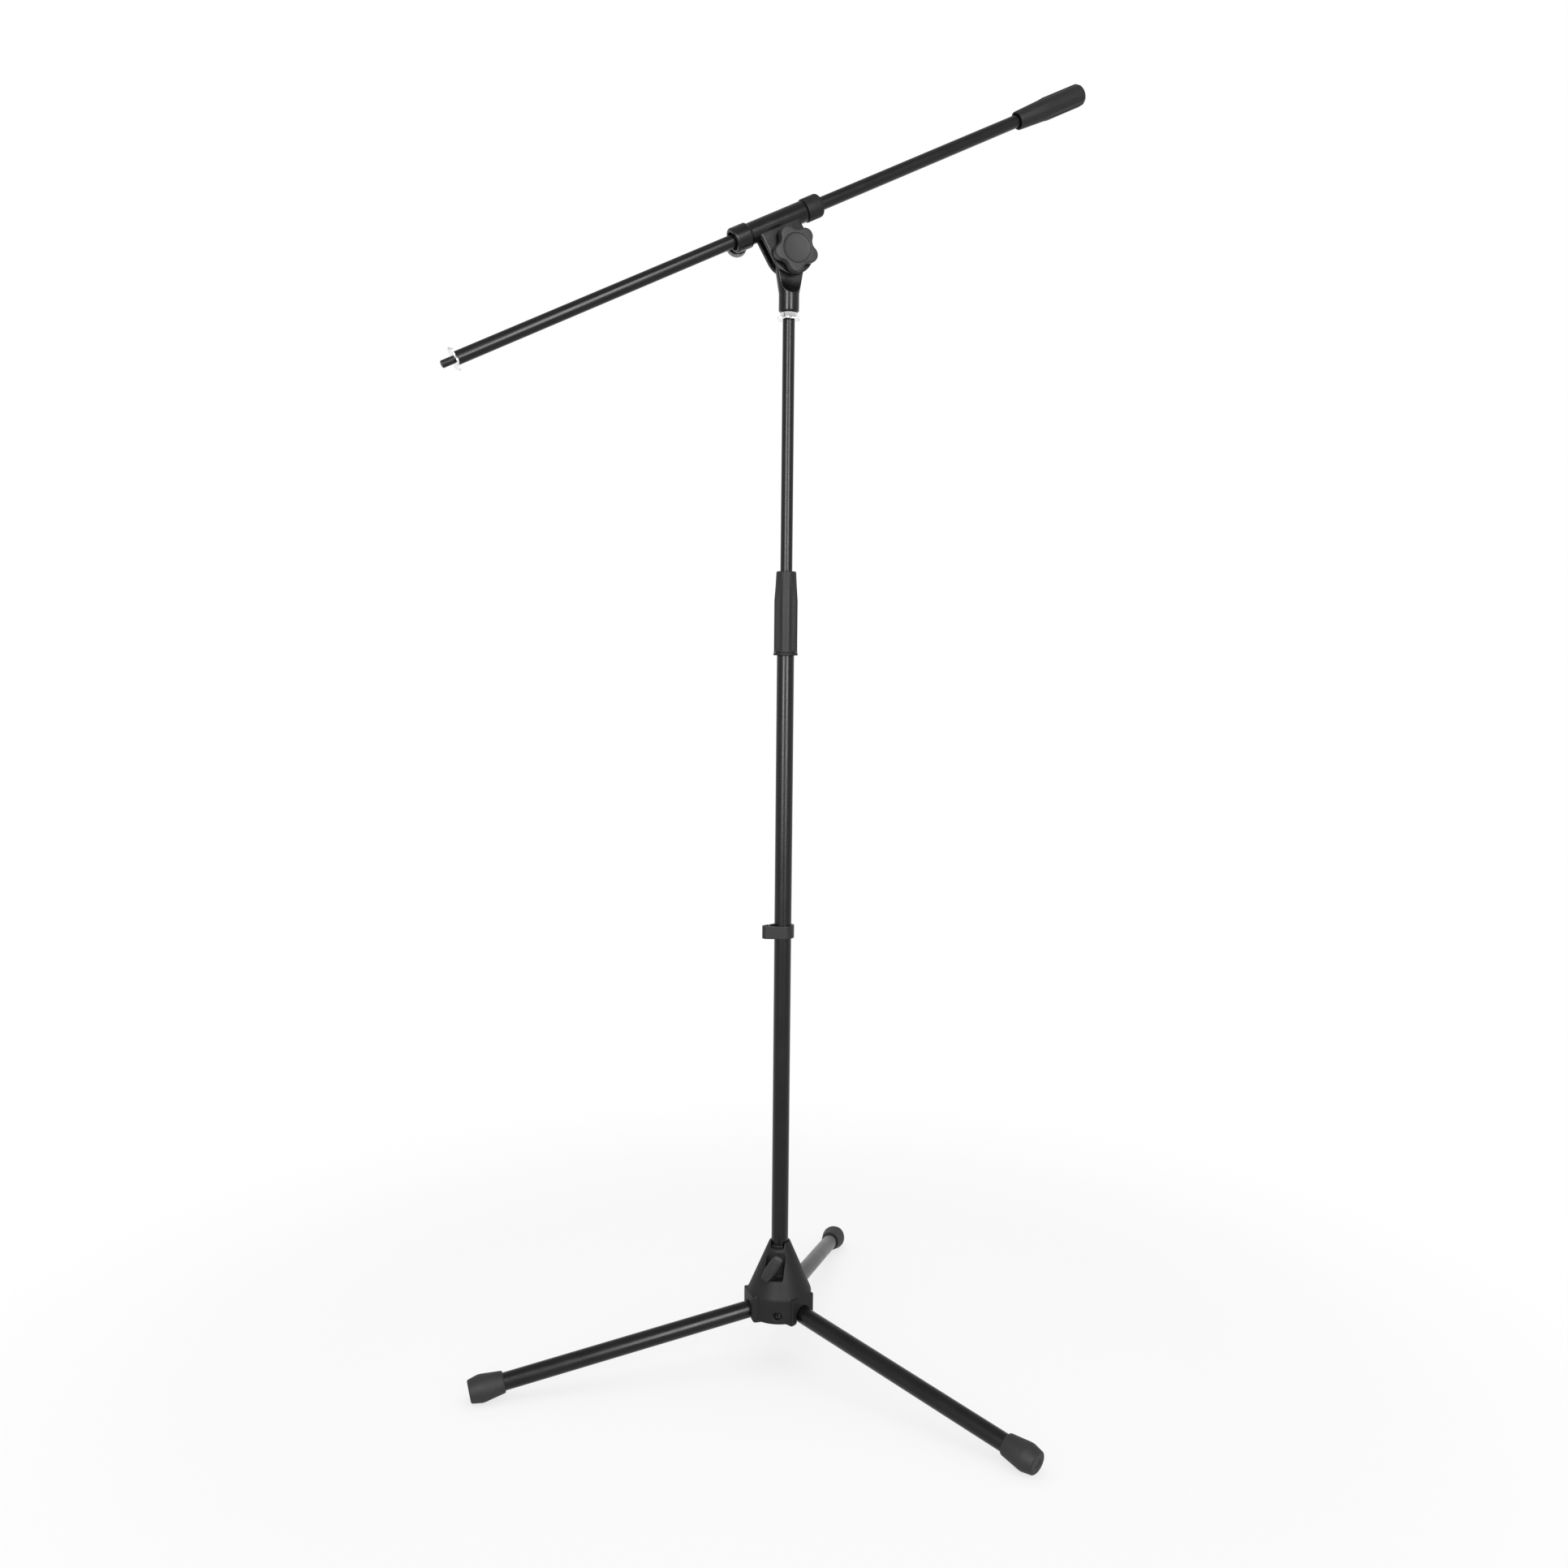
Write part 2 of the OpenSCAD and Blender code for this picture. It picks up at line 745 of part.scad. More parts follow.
module cable_clip() {
    bore_r = tube_r + run_fit;
    slit_x = (clip_reach + tube_r) / 2;
    color([0.2, 0.2, 0.2])
        translate([0, 0, clip_z])
            linear_extrude(clip_h)
                difference() {
                    drop_outline(bore_r + clip_wall, clip_loop_r + clip_wall, clip_reach);
                    drop_outline(bore_r, clip_loop_r, clip_reach);
                    translate([-slit_x - clip_slit / 2, 0])
                        square([clip_slit, tube_r + clip_wall]);
                }
}

module clutch_body() {
    ring_r = clutch_r + 0.5;
    guide_r = rod_r + run_fit;
    color([0.17, 0.17, 0.18])
        turned_z([
            [tube_r + seat_fit, clutch_z], [ring_r - 0.8, clutch_z], [ring_r, clutch_z + 0.8],
            [ring_r, clutch_z + clutch_ring_t], [thread_r, clutch_z + clutch_ring_t],
            [thread_r, thread_top_z], [guide_r, thread_top_z], [guide_r, tube_top_z + seat_fit],
            [tube_r + seat_fit, tube_top_z + seat_fit]
        ]);
}

// Radii of the collet at its foot and its top
function collet_foot_r() = thread_r - 0.6;
function collet_top_r() = rod_r + 1.4;

module clutch_collet() {
    slit = 2;
    color([0.75, 0.74, 0.7])
        difference() {
            turned_z([
                [rod_r + run_fit, collet_z], [collet_foot_r(), collet_z],
                [collet_foot_r(), collet_z + 4], [collet_top_r(), collet_z + collet_h],
                [rod_r + run_fit, collet_z + collet_h]
            ]);
            translate([0, -slit / 2, collet_z - 1])
                cube([thread_r, slit, collet_h + 2]);
        }
}

module clutch_grip() {
    top_r = clutch_top_d / 2;
    mouth_r = rod_r + 0.7;
    edge = 1;
    inner_r = thread_r + face_gap;
    taper_lean = atan((clutch_r - top_r - flute_depth / 2) / clutch_taper_len);
    color([0.22, 0.22, 0.23])
        difference() {
            turned_z([
                [inner_r, grip_z], [clutch_r, grip_z], [clutch_r, taper_z],
                [top_r + edge * 0.3, grip_top_z - edge], [top_r - edge, grip_top_z],
                [mouth_r, grip_top_z], [mouth_r, collet_z + collet_h + face_gap],
                [collet_top_r() + face_gap, collet_z + collet_h + face_gap],
                [inner_r, collet_z + 4 + face_gap]
            ]);
            rotate([0, 0, clutch_rest]) {
                flutes(clutch_r, grip_z + 2, clutch_flute_len + 2);
                flutes(clutch_r, taper_z, 2 * clutch_taper_len, taper_lean);
            }
        }
}

module mast_rod() {
    color([0.12, 0.12, 0.13])
        difference() {
            rod_z(rod_r, rod_z, rod_top_z);
            rod_z(rod_bore_r, rod_z - 1, rod_top_z + 1);
        }
}

module rod_guide_bush() {
    color([0.85, 0.85, 0.82])
        difference() {
            rod_z(tube_bore_r - run_fit, rod_z, rod_z + guide_len);
            rod_z(rod_r + seat_fit, rod_z - 1, rod_z + guide_len + 1);
        }
}

module rod_stud() {
    color([0.55, 0.55, 0.56]) {
        rod_z(rod_bore_r - seat_fit, rod_top_z - stud_plug, rod_top_z);
        rod_z(stud_r, rod_top_z - 1, socket_z + stud_bite);
    }
}

// Disc of a lock nut, with its lobes
module nut_disc(t) {
    linear_extrude(t)
        difference() {
            lobed_outline(6, nut_r, nut_r * 0.24, nut_r * 0.3);
            circle(r = stud_r + run_fit);
        }
}

module mast_lock_nut() {
    hub_r = socket_r - 1.8;
    color([0.85, 0.85, 0.86])
        translate([0, 0, nut_z]) {
            nut_disc(nut_t);
            difference() {
                turned_z([
                    [0, nut_t / 2], [hub_r, nut_t / 2], [hub_r, nut_t + nut_hub_h - 1.5],
                    [hub_r - 1.5, nut_t + nut_hub_h], [0, nut_t + nut_hub_h]
                ]);
                rod_z(stud_r + run_fit, 0, nut_t + nut_hub_h + 1);
            }
        }
}

module swivel_head() {
    half_t = eye_t / 2;
    scoop_h = neck_top_z - socket_top_z;
    scoop_r = (pow(socket_r - half_t, 2) + scoop_h * scoop_h) / (2 * (socket_r - half_t));
    scoop_bite = 0.05;
    ear_z = tilt_z - sqrt(eye_r * eye_r - flare_r * flare_r) + 1;
    edge = 1;
    color([0.1, 0.1, 0.1])
        difference() {
            union() {
                turned_z([
                    [0, socket_z], [socket_r - edge, socket_z], [socket_r, socket_z + edge],
                    [socket_r, socket_top_z], [flare_r, flare_z], [flare_r, ear_z], [0, ear_z]
                ]);
                translate([0, 0, tilt_z])
                    rod_y(eye_r, -half_t, half_t);
            }
            for (side = [-1, 1]) {
                translate([-2 * eye_r, side * (half_t + scoop_r - scoop_bite), neck_top_z])
                    rod_x(scoop_r, 0, 4 * eye_r);
                translate([-2 * eye_r, side > 0 ? half_t : -half_t - 2 * eye_r, neck_top_z])
                    cube([4 * eye_r, 2 * eye_r, eye_r + cheek_r]);
            }
            rod_z(stud_r + run_fit, socket_z - 1, socket_z + stud_bite + 2);
            translate([0, 0, tilt_z])
                rod_y(tilt_bolt_r + run_fit, -eye_t, eye_t);
        }
}

module friction_washers() {
    color([0.35, 0.3, 0.25])
        translate([0, 0, tilt_z])
            for (y = [washer_y, -washer_y - washer_t])
                difference() {
                    rod_y(eye_r - 5, y, y + washer_t);
                    rod_y(tilt_bolt_r + run_fit, y - 1, y + washer_t + 1);
                }
}

// Outline of a cheek: round at the tilt axis and as wide as the fin at the sleeve
module cheek_outline() {
    low = [fin_low, boom_drop];
    high = [fin_high, boom_drop];
    circle(r = cheek_r);
    polygon([tangent(low, cheek_r, 1), low, high, tangent(high, cheek_r, -1)]);
}

module boom_holder() {
    bell_r = boom_r + 2.8;
    bell_len = 6;
    edge = 1.5;
    collar_end = collar_len - sleeve_low;
    cap_start = sleeve_high - cap_len;
    color([0.1, 0.1, 0.1])
        on_head()
            difference() {
                union() {
                    translate([0, 0, boom_drop]) {
                        turned_x([
                            [-sleeve_low, 0], [-sleeve_low, collar_r - edge],
                            [-sleeve_low + edge, collar_r], [collar_end - edge, collar_r],
                            [collar_end, sleeve_r],
                            [cap_start - 1, sleeve_r], [cap_start - 1, sleeve_r - cap_seat_sink],
                            [sleeve_high - cap_seat_len, sleeve_r - cap_seat_sink],
                            [sleeve_high - cap_seat_len, 0]
                        ]);
                        at_thumb()
                            rod_y(boss_r, boom_r, boss_y);
                    }
                    for (y = [cheek_y, -cheek_out_y])
                        translate([0, y + cheek_t, 0])
                            rotate([90, 0, 0])
                                linear_extrude(cheek_t)
                                    cheek_outline();
                }
                translate([0, 0, boom_drop]) {
                    rod_x(sleeve_bore_r, -sleeve_low - 1, sleeve_high);
                    rod_x(bell_r, -sleeve_low - 1, -sleeve_low + bell_len);
                    at_thumb()
                        rod_y(thumb_r + run_fit, 0, boss_y + 1);
                }
                rod_y(tilt_bolt_r + seat_fit, -cheek_out_y - 1, cheek_out_y + 1);
                translate([0, cheek_out_y - tilt_head_sink, 0])
                    rotate([-90, 0, 0])
                        cylinder(d = tilt_head_af / cos(30) + 0.3, h = cheek_t, $fn = 6);
            }
}

module boom_guide_cap() {
    start = sleeve_high - cap_len;
    shoulder = sleeve_high - cap_seat_len + face_gap;
    seat_r = sleeve_r - cap_seat_sink + seat_fit;
    round_r = 4;
    color([0.15, 0.15, 0.16])
        on_boom()
            turned_x([
                [start, seat_r], [start, cap_r - 0.6], [start + 0.6, cap_r],
                for (a = [90:-15:0])
                    [sleeve_high - round_r + round_r * cos(a), cap_r - round_r + round_r * sin(a)],
                [sleeve_high, sleeve_bore_r], [shoulder, sleeve_bore_r], [shoulder, seat_r]
            ]);
}

module tilt_bolt() {
    color([0.6, 0.6, 0.61])
        on_head() {
            rod_y(tilt_bolt_r, -knob_y - knob_hub_h - knob_t + 3, cheek_out_y);
            translate([0, cheek_out_y - tilt_head_sink, 0])
                rotate([-90, 0, 0])
                    cylinder(d = tilt_head_af / cos(30), h = tilt_head_t, $fn = 6);
        }
}

// Places children on the star knob: +Z points out of its front, and a lobe points straight down
module on_knob() {
    translate([0, 0, tilt_z])
        rotate([90, 0, 0])
            translate([0, 0, knob_y])
                rotate([0, 0, 270])
                    children();
}

module star_knob() {
    lobe_r = knob_r * 0.34;
    dip_r = knob_r * 0.36;
    bevel = 1.2;
    dish_r = knob_r * 0.63;
    dish_depth = 1.6;
    ball_r = (dish_r * dish_r + dish_depth * dish_depth) / (2 * dish_depth);
    insert_r = tilt_bolt_r + 2.5;
    front = knob_hub_h + knob_t;
    color([0.24, 0.24, 0.25])
        on_knob()
            difference() {
                union() {
                    rod_z(knob_r * 0.5, 0, knob_hub_h + 1);
                    translate([0, 0, knob_hub_h])
                        linear_extrude(knob_t)
                            lobed_outline(5, knob_r - bevel, lobe_r - bevel, dip_r + bevel);
                    translate([0, 0, knob_hub_h + bevel])
                        linear_extrude(knob_t - 2 * bevel)
                            lobed_outline(5, knob_r, lobe_r, dip_r);
                }
                translate([0, 0, front + ball_r - dish_depth])
                    sphere(r = ball_r, $fn = 120);
                rod_z(insert_r + seat_fit, -1, front - 3);
            }
}

module star_knob_insert() {
    insert_r = tilt_bolt_r + 2.5;
    color([0.72, 0.6, 0.32])
        on_knob()
            difference() {
                rod_z(insert_r, 0, knob_hub_h + knob_t - 3.5);
                rod_z(tilt_bolt_r + run_fit, -1, knob_hub_h + knob_t);
            }
}

module thumb_screw() {
    head_y = boss_y + face_gap;
    rim = 1;
    head_r = thumb_head_d / 2;
    color([0.8, 0.8, 0.81])
        on_boom()
            at_thumb() {
                rod_y(thumb_r, screw_tip_y, head_y + 1);
                rotate([-90, 0, 0])
                    turned_z([
                        [0, head_y], [head_r - rim, head_y], [head_r, head_y + rim],
                        [head_r, head_y + thumb_head_t - rim], [head_r - rim, head_y + thumb_head_t],
                        [head_r * 0.6, head_y + thumb_head_t - rim], [0, head_y + thumb_head_t - rim]
                    ]);
            }
}

module boom_clamp_pad() {
    color([0.85, 0.83, 0.75])
        on_boom()
            at_thumb()
                rod_y(thumb_r - seat_fit, pad_y, pad_y + pad_t);
}

module boom_tube() {
    color([0.12, 0.12, 0.13])
        on_boom()
            difference() {
                rod_x(boom_r, -boom_low, core_x - face_gap);
                rod_x(boom_bore_r, -boom_low - 1, core_x + 1);
            }
}

module boom_stud() {
    tip = -boom_low - boom_stud_out;
    groove = -boom_low - 2 * face_gap - nut_t;
    groove_w = 0.6;
    plug_r = boom_bore_r - seat_fit;
    color([0.2, 0.2, 0.2])
        on_boom()
            turned_x([
                [tip, 0], [tip, stud_r - 1], [tip + 1, stud_r],
                [groove - groove_w, stud_r], [groove - groove_w, stud_r - 0.6],
                [groove, stud_r - 0.6], [groove, stud_r],
                [-boom_low, stud_r], [-boom_low, plug_r],
                [-boom_low + stud_plug, plug_r], [-boom_low + stud_plug, 0]
            ]);
}

module boom_lock_nut() {
    color([0.85, 0.85, 0.86])
        on_boom()
            translate([-boom_low - face_gap, 0, 0])
                rotate([0, -90, 0])
                    rotate([0, 0, 15])
                        nut_disc(nut_t);
}

module counterweight_grip() {
    neck_r = weight_neck_d / 2;
    cone_end_r = weight_r - 1;
    mouth_r = boom_r + 2.2;
    mouth_len = 8;
    round_r = 8;
    color([0.22, 0.22, 0.23])
        on_boom()
            difference() {
                turned_x([
                    [boom_high, mouth_r], [boom_high, neck_r - 0.8], [boom_high + 0.8, neck_r],
                    [weight_step, cone_end_r], [weight_step, weight_r],
                    for (a = [90:-10:0])
                        [weight_end - round_r + round_r * cos(a), weight_r - round_r + round_r * sin(a)],
                    [weight_end, 0], [core_end, 0], [core_end, core_r], [core_x - face_gap, core_r],
                    [core_x - face_gap, boom_r + seat_fit], [boom_high + mouth_len, boom_r + seat_fit],
                    [boom_high + mouth_len, mouth_r]
                ]);
                rotate([0, 90, 0])
                    flutes(weight_r, weight_step - 1, weight_grip_len + 1 - round_r / 2);
            }
}

module counterweight_core() {
    color([0.5, 0.5, 0.52])
        on_boom() {
            rod_x(core_r - seat_fit, core_x, core_end - seat_fit);
            rod_x(boom_bore_r - seat_fit, core_x - stud_plug, core_x + 1);
        }
}

base_housing();
mast_clamp_shoe();
clamp_screw_insert();
wing_screw();
leg_pivot_bolts();
leg_tube(0);  // leg_tube_left
leg_tube(1);  // leg_tube_right
leg_tube(2);  // leg_tube_rear
leg_hinge(0);  // leg_hinge_left
leg_hinge(1);  // leg_hinge_right
leg_hinge(2);  // leg_hinge_rear
foot(0);  // foot_left
foot(1);  // foot_right
foot(2);  // foot_rear
lower_mast_tube();
cable_clip();
clutch_body();
clutch_collet();
clutch_grip();
mast_rod();
rod_guide_bush();
rod_stud();
mast_lock_nut();
swivel_head();
friction_washers();
boom_holder();
boom_guide_cap();
tilt_bolt();
star_knob();
star_knob_insert();
thumb_screw();
boom_clamp_pad();
boom_tube();
boom_stud();
boom_lock_nut();
counterweight_grip();
counterweight_core();
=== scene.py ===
# %% [markdown]
# A boom microphone stand, dressed for a studio picture
#
# The stand is a folding tripod, a telescopic mast with a twist clutch, and a counterweighted boom on
# a tilting head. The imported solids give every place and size. This lesson puts finer meshes over
# them, gives every piece a finish made of shader nodes, and lights it on a pale floor.

import json
import math

import bmesh
import bpy
from mathutils import Matrix, Vector


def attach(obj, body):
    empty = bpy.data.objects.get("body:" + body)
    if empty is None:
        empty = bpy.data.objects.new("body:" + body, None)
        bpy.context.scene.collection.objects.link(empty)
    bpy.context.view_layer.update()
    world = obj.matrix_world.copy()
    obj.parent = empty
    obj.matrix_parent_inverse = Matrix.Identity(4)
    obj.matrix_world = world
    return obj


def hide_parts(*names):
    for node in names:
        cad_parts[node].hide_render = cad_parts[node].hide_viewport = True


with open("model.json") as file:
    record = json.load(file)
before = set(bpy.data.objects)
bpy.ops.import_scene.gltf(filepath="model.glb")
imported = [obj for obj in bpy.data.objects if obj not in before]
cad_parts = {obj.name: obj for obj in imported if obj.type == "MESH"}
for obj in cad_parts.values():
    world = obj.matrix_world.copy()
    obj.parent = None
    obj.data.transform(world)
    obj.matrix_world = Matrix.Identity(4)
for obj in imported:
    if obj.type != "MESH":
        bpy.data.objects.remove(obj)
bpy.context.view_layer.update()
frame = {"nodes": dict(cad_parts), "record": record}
NODES = frame["nodes"]
MM = 0.001

# %% [markdown]
# The camera
#
# A camera is a place, a direction and a lens. These came from fitting the straight edges of the
# tubes in the photograph, whose widths are known, so the picture lines up with the solids. Writing
# the three axes of the camera as a matrix keeps its slight roll, which a Track To would lose.

# %% Camera
CAMERA_PLACE = Vector((-0.69435, -1.75441, 0.92421))
HEADING, PITCH, ROLL = math.radians(68.417), math.radians(4.7505), math.radians(-0.5624)
SENSOR = 36.0
PICTURE_PIXELS = 1932.0
FOCAL_PIXELS = 1816.2
LENS = SENSOR * FOCAL_PIXELS / PICTURE_PIXELS

ahead = Vector((
    math.cos(HEADING) * math.cos(PITCH), math.sin(HEADING) * math.cos(PITCH), -math.sin(PITCH)))
level_right = Vector((math.sin(HEADING), -math.cos(HEADING), 0.0))
level_down = ahead.cross(level_right)
right = level_right * math.cos(ROLL) + level_down * math.sin(ROLL)
down = level_down * math.cos(ROLL) - level_right * math.sin(ROLL)

camera = bpy.data.objects.new("camera", bpy.data.cameras.new("camera"))
camera.data.sensor_width = SENSOR
camera.data.lens = LENS
turned = Matrix((right, -down, -ahead)).transposed().to_4x4()
camera.matrix_world = Matrix.Translation(CAMERA_PLACE) @ turned
bpy.context.scene.collection.objects.link(camera)
bpy.context.scene.camera = camera
print("lens", round(LENS, 2), "mm at", [round(v, 3) for v in CAMERA_PLACE])

# %% [markdown]
# Node trees as expressions
#
# A finish is a sum of small patterns, and a chain of Math nodes is hard to read. So one class wraps
# an output socket and turns +, - and * into Math nodes, and one method on the tree adds any other
# node. The same two serve shader trees and Geometry Nodes, because both know the Math node.


# %% Wires and trees
class Wire:
    def __init__(self, tree, socket):
        self.tree, self.socket = tree, socket

    def math(self, operation, *others):
        return self.tree.node("ShaderNodeMath", {"operation": operation}, [self, *others])

    def __add__(self, other):
        return self.math("ADD", other)

    def __mul__(self, other):
        return self.math("MULTIPLY", other)

    def __truediv__(self, other):
        return self.math("DIVIDE", other)

    def __sub__(self, other):
        return self.math("SUBTRACT", other)

    def __rsub__(self, other):
        return self.tree.node("ShaderNodeMath", {"operation": "SUBTRACT"}, [other, self])

    __radd__ = __add__
    __rmul__ = __mul__


class Tree:
    def __init__(self, tree):
        self.tree = tree

    def node(self, kind, settings=None, sockets=None, output=0):
        made = self.tree.nodes.new(kind)
        for key, value in (settings or {}).items():
            setattr(made, key, value)
        pairs = enumerate(sockets) if isinstance(sockets, list) else (sockets or {}).items()
        for key, value in pairs:
            if isinstance(value, Wire):
                self.tree.links.new(value.socket, made.inputs[key])
            elif value is not None:
                made.inputs[key].default_value = value
        return Wire(self, made.outputs[output])


print("trees ready")

# %% [markdown]
# The finishes
#
# Every surface here is dark, so it is told apart by its gloss and its grain. A finish starts from
# Object coordinates, which stay put when a piece moves. A fine noise becomes a bump, a coarser one
# varies the roughness and the colour, as dust and handling do, and rubbed pieces get lighter specks.


# %% A finish maker
CLOUDS_PER_METRE, SPECKS_PER_METRE = 38.0, 260.0


def finish(name, colour, rough, metal=0.0, grain=0.0008, depth=0.2, mottle=0.12, rough_spread=0.08,
           worn=None, specular=0.25):
    """A Principled material; grain is the size of its texture in metres."""
    material = bpy.data.materials.new(name)
    material.use_nodes = True
    tree = Tree(material.node_tree)
    shader = material.node_tree.nodes["Principled BSDF"]
    shader.inputs["Metallic"].default_value = metal
    shader.inputs["Specular IOR Level"].default_value = specular
    place = tree.node("ShaderNodeTexCoord", output="Object")
    fine = tree.node("ShaderNodeTexNoise", None, {"Vector": place, "Scale": 1.0 / grain, "Detail": 2.0})
    broad = tree.node("ShaderNodeTexNoise", None, {
        "Vector": place, "Scale": CLOUDS_PER_METRE, "Detail": 4.0})
    cloud = tree.node("ShaderNodeMapRange", {"clamp": True}, [broad, 0.35, 0.68, 0.0, 1.0])
    light = [min(c * (1.0 + mottle) + mottle * 0.012, 1.0) for c in colour]
    shade = tree.node("ShaderNodeMix", {"data_type": "RGBA"}, {
        "Factor": cloud * 0.7 + fine * 0.3, 6: (*colour, 1.0), 7: (*light, 1.0)}, output=2)
    gloss = cloud * rough_spread + fine * (0.5 * rough_spread) + (rough - 0.6 * rough_spread)
    if worn:
        speck = tree.node("ShaderNodeTexNoise", None, {
            "Vector": place, "Scale": SPECKS_PER_METRE, "Detail": 6.0})
        mask = tree.node("ShaderNodeMapRange", {"clamp": True}, [speck, 0.66, 0.72, 0.0, 0.5])
        shade = tree.node("ShaderNodeMix", {"data_type": "RGBA"}, {
            "Factor": mask, 6: shade, 7: (*worn, 1.0)}, output=2)
    bump = tree.node("ShaderNodeBump", None, {
        "Strength": depth, "Distance": 0.25 * grain, "Height": fine})
    links = material.node_tree.links
    links.new(shade.socket, shader.inputs["Base Color"])
    links.new(gloss.socket, shader.inputs["Roughness"])
    links.new(bump.socket, shader.inputs["Normal"])
    return material


FINISH = {
    "black_tube": finish("satin_powder_coat", (0.0040, 0.0040, 0.0042), 0.29, grain=0.0011, depth=0.05,
                         mottle=0.2, rough_spread=0.06, worn=(0.008, 0.008, 0.008)),
    "black_casting": finish("semi_gloss_paint", (0.0036, 0.0036, 0.0038), 0.25, grain=0.0016, depth=0.10,
                            mottle=0.2, rough_spread=0.08),
    "base_plastic": finish("grained_moulding", (0.0115, 0.0115, 0.0119), 0.54, grain=0.0007, depth=0.22,
                           mottle=0.22, worn=(0.02, 0.02, 0.02), specular=0.16),
    "grip_plastic": finish("grip_moulding", (0.0145, 0.0145, 0.0150), 0.48, grain=0.0006, depth=0.25,
                           mottle=0.2, worn=(0.026, 0.026, 0.026), specular=0.20),
    "knob_plastic": finish("knob_moulding", (0.0230, 0.0230, 0.0237), 0.50, grain=0.0005, depth=0.2,
                           mottle=0.15),
    "clip_plastic": finish("clip_moulding", (0.0160, 0.0160, 0.0163), 0.46, grain=0.0007, depth=0.2),
    "hinge_plastic": finish("hinge_moulding", (0.012, 0.012, 0.012), 0.5, grain=0.0008, depth=0.2),
    "shoe_plastic": finish("shoe_moulding", (0.007, 0.007, 0.007), 0.42, grain=0.0008, depth=0.2),
    "foot_rubber": finish("foot_rubber", (0.0205, 0.0205, 0.0212), 0.60, grain=0.0006, depth=0.3,
                          mottle=0.35, worn=(0.045, 0.045, 0.045)),
    "chrome": finish("bright_chrome", (0.80, 0.80, 0.81), 0.12, metal=1.0, grain=0.0004, depth=0.03,
                     mottle=0.05, rough_spread=0.06),
    "steel": finish("turned_steel", (0.20, 0.20, 0.205), 0.30, metal=1.0, grain=0.0003, depth=0.1),
    "dark_steel": finish("blackened_steel", (0.022, 0.022, 0.023), 0.42, metal=0.6, grain=0.0004,
                         depth=0.1),
    "brass": finish("turned_brass", (0.70, 0.52, 0.22), 0.28, metal=1.0, grain=0.0003, depth=0.1),
    "nylon": finish("natural_nylon", (0.72, 0.70, 0.64), 0.42, grain=0.0006, depth=0.1),
    "dark_brass": finish("blackened_brass", (0.016, 0.015, 0.013), 0.5, grain=0.0003, depth=0.1),
    "fibre": finish("pressed_fibre", (0.16, 0.10, 0.06), 0.75, grain=0.0005, depth=0.4, mottle=0.4),
}
SLOT_OF = {part["node"]: part["material_slot"] for part in frame["record"]["subparts"]}
BODY_OF = {node: body for body, nodes in frame["record"]["behaviour"]["bodies"].items() for node in nodes}
for node, cad in NODES.items():
    cad.data.materials.clear()
    cad.data.materials.append(FINISH[SLOT_OF[node]])
NODES["clamp_screw_insert"].data.materials[0] = FINISH["dark_brass"]
print("finishes:", len(FINISH))

# %% [markdown]
# Places on the stand
#
# Each piece is drawn in millimetres along its own axis, then moved by one matrix: the mast stands on
# Z, a leg slopes from its pivot, and the boom leans on the head. A turned piece is drawn about Z, so
# a quarter turn lays it along X.

# %% Places
LEG_ANGLES = {"left": 175.8, "right": 295.8, "rear": 55.8}
PIVOT_R, PIVOT_Z, LEG_SLOPE = 26.0, 78.409, 9.7
TILT_Z, BOOM_TILT, BOOM_DROP = 1432.209, 26.6, 38.7
LAY_X = Matrix.Rotation(math.radians(90), 4, "Y")
LAY_Y = Matrix.Rotation(math.radians(-90), 4, "X")
SMALL = Matrix.Scale(MM, 4)


def turn(degrees, axis):
    return Matrix.Rotation(math.radians(degrees), 4, axis)


def shift(x, y, z):
    return Matrix.Translation((x, y, z))


MAST = SMALL
HEAD = SMALL @ shift(0, 0, TILT_Z) @ turn(-BOOM_TILT, "Y")
BOOM = HEAD @ shift(0, 0, BOOM_DROP)
HINGE = shift(PIVOT_R, 0, PIVOT_Z) @ turn(LEG_SLOPE, "Y")
LEG = {side: SMALL @ turn(angle, "Z") @ HINGE for side, angle in LEG_ANGLES.items()}
print("boom axis passes", [round(v, 3) for v in BOOM @ Vector((0, 0, 0))])

# %% [markdown]
# From points to pieces
#
# A piece needs the same few steps each time: a mesh, normals that point outwards, smooth shading that
# breaks at real edges, a finish, and a ride on its body. One function does them, so that every later
# cell only draws a shape.


# %% Finished pieces
def dress(name, mesh, nodes, sharp=32.0):
    """Puts a mesh in the scene in place of the named solids."""
    tidy = bmesh.new()
    tidy.from_mesh(mesh)
    bmesh.ops.remove_doubles(tidy, verts=tidy.verts, dist=2e-7)
    bmesh.ops.recalc_face_normals(tidy, faces=tidy.faces)
    tidy.to_mesh(mesh)
    tidy.free()
    mesh.polygons.foreach_set("use_smooth", [True] * len(mesh.polygons))
    mesh.set_sharp_from_angle(angle=math.radians(sharp))
    mesh.materials.clear()
    mesh.materials.append(FINISH[SLOT_OF[nodes[0]]])
    piece = bpy.data.objects.new(name, mesh)
    bpy.context.scene.collection.objects.link(piece)
    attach(piece, BODY_OF[nodes[0]])
    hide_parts(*nodes)
    print(name, len(mesh.polygons), "faces")
    return piece


def mesh_of(name, points, faces, place):
    mesh = bpy.data.meshes.new(name)
    mesh.from_pydata([place @ Vector(p) for p in points], [], faces)
    return mesh


def evaluated(holder):
    """The plain mesh that an object's modifiers make."""
    return bpy.data.meshes.new_from_object(holder.evaluated_get(bpy.context.evaluated_depsgraph_get()))


print("bodies:", len(set(BODY_OF.values())))

# %% [markdown]
# Turned shapes
#
# Tubes, feet, grips and collars are all turned. Each is a profile of radius and height, spun in even
# steps. A corner of the profile is first replaced by a short arc, because a real edge always has a
# small radius, and that radius is what catches the light.


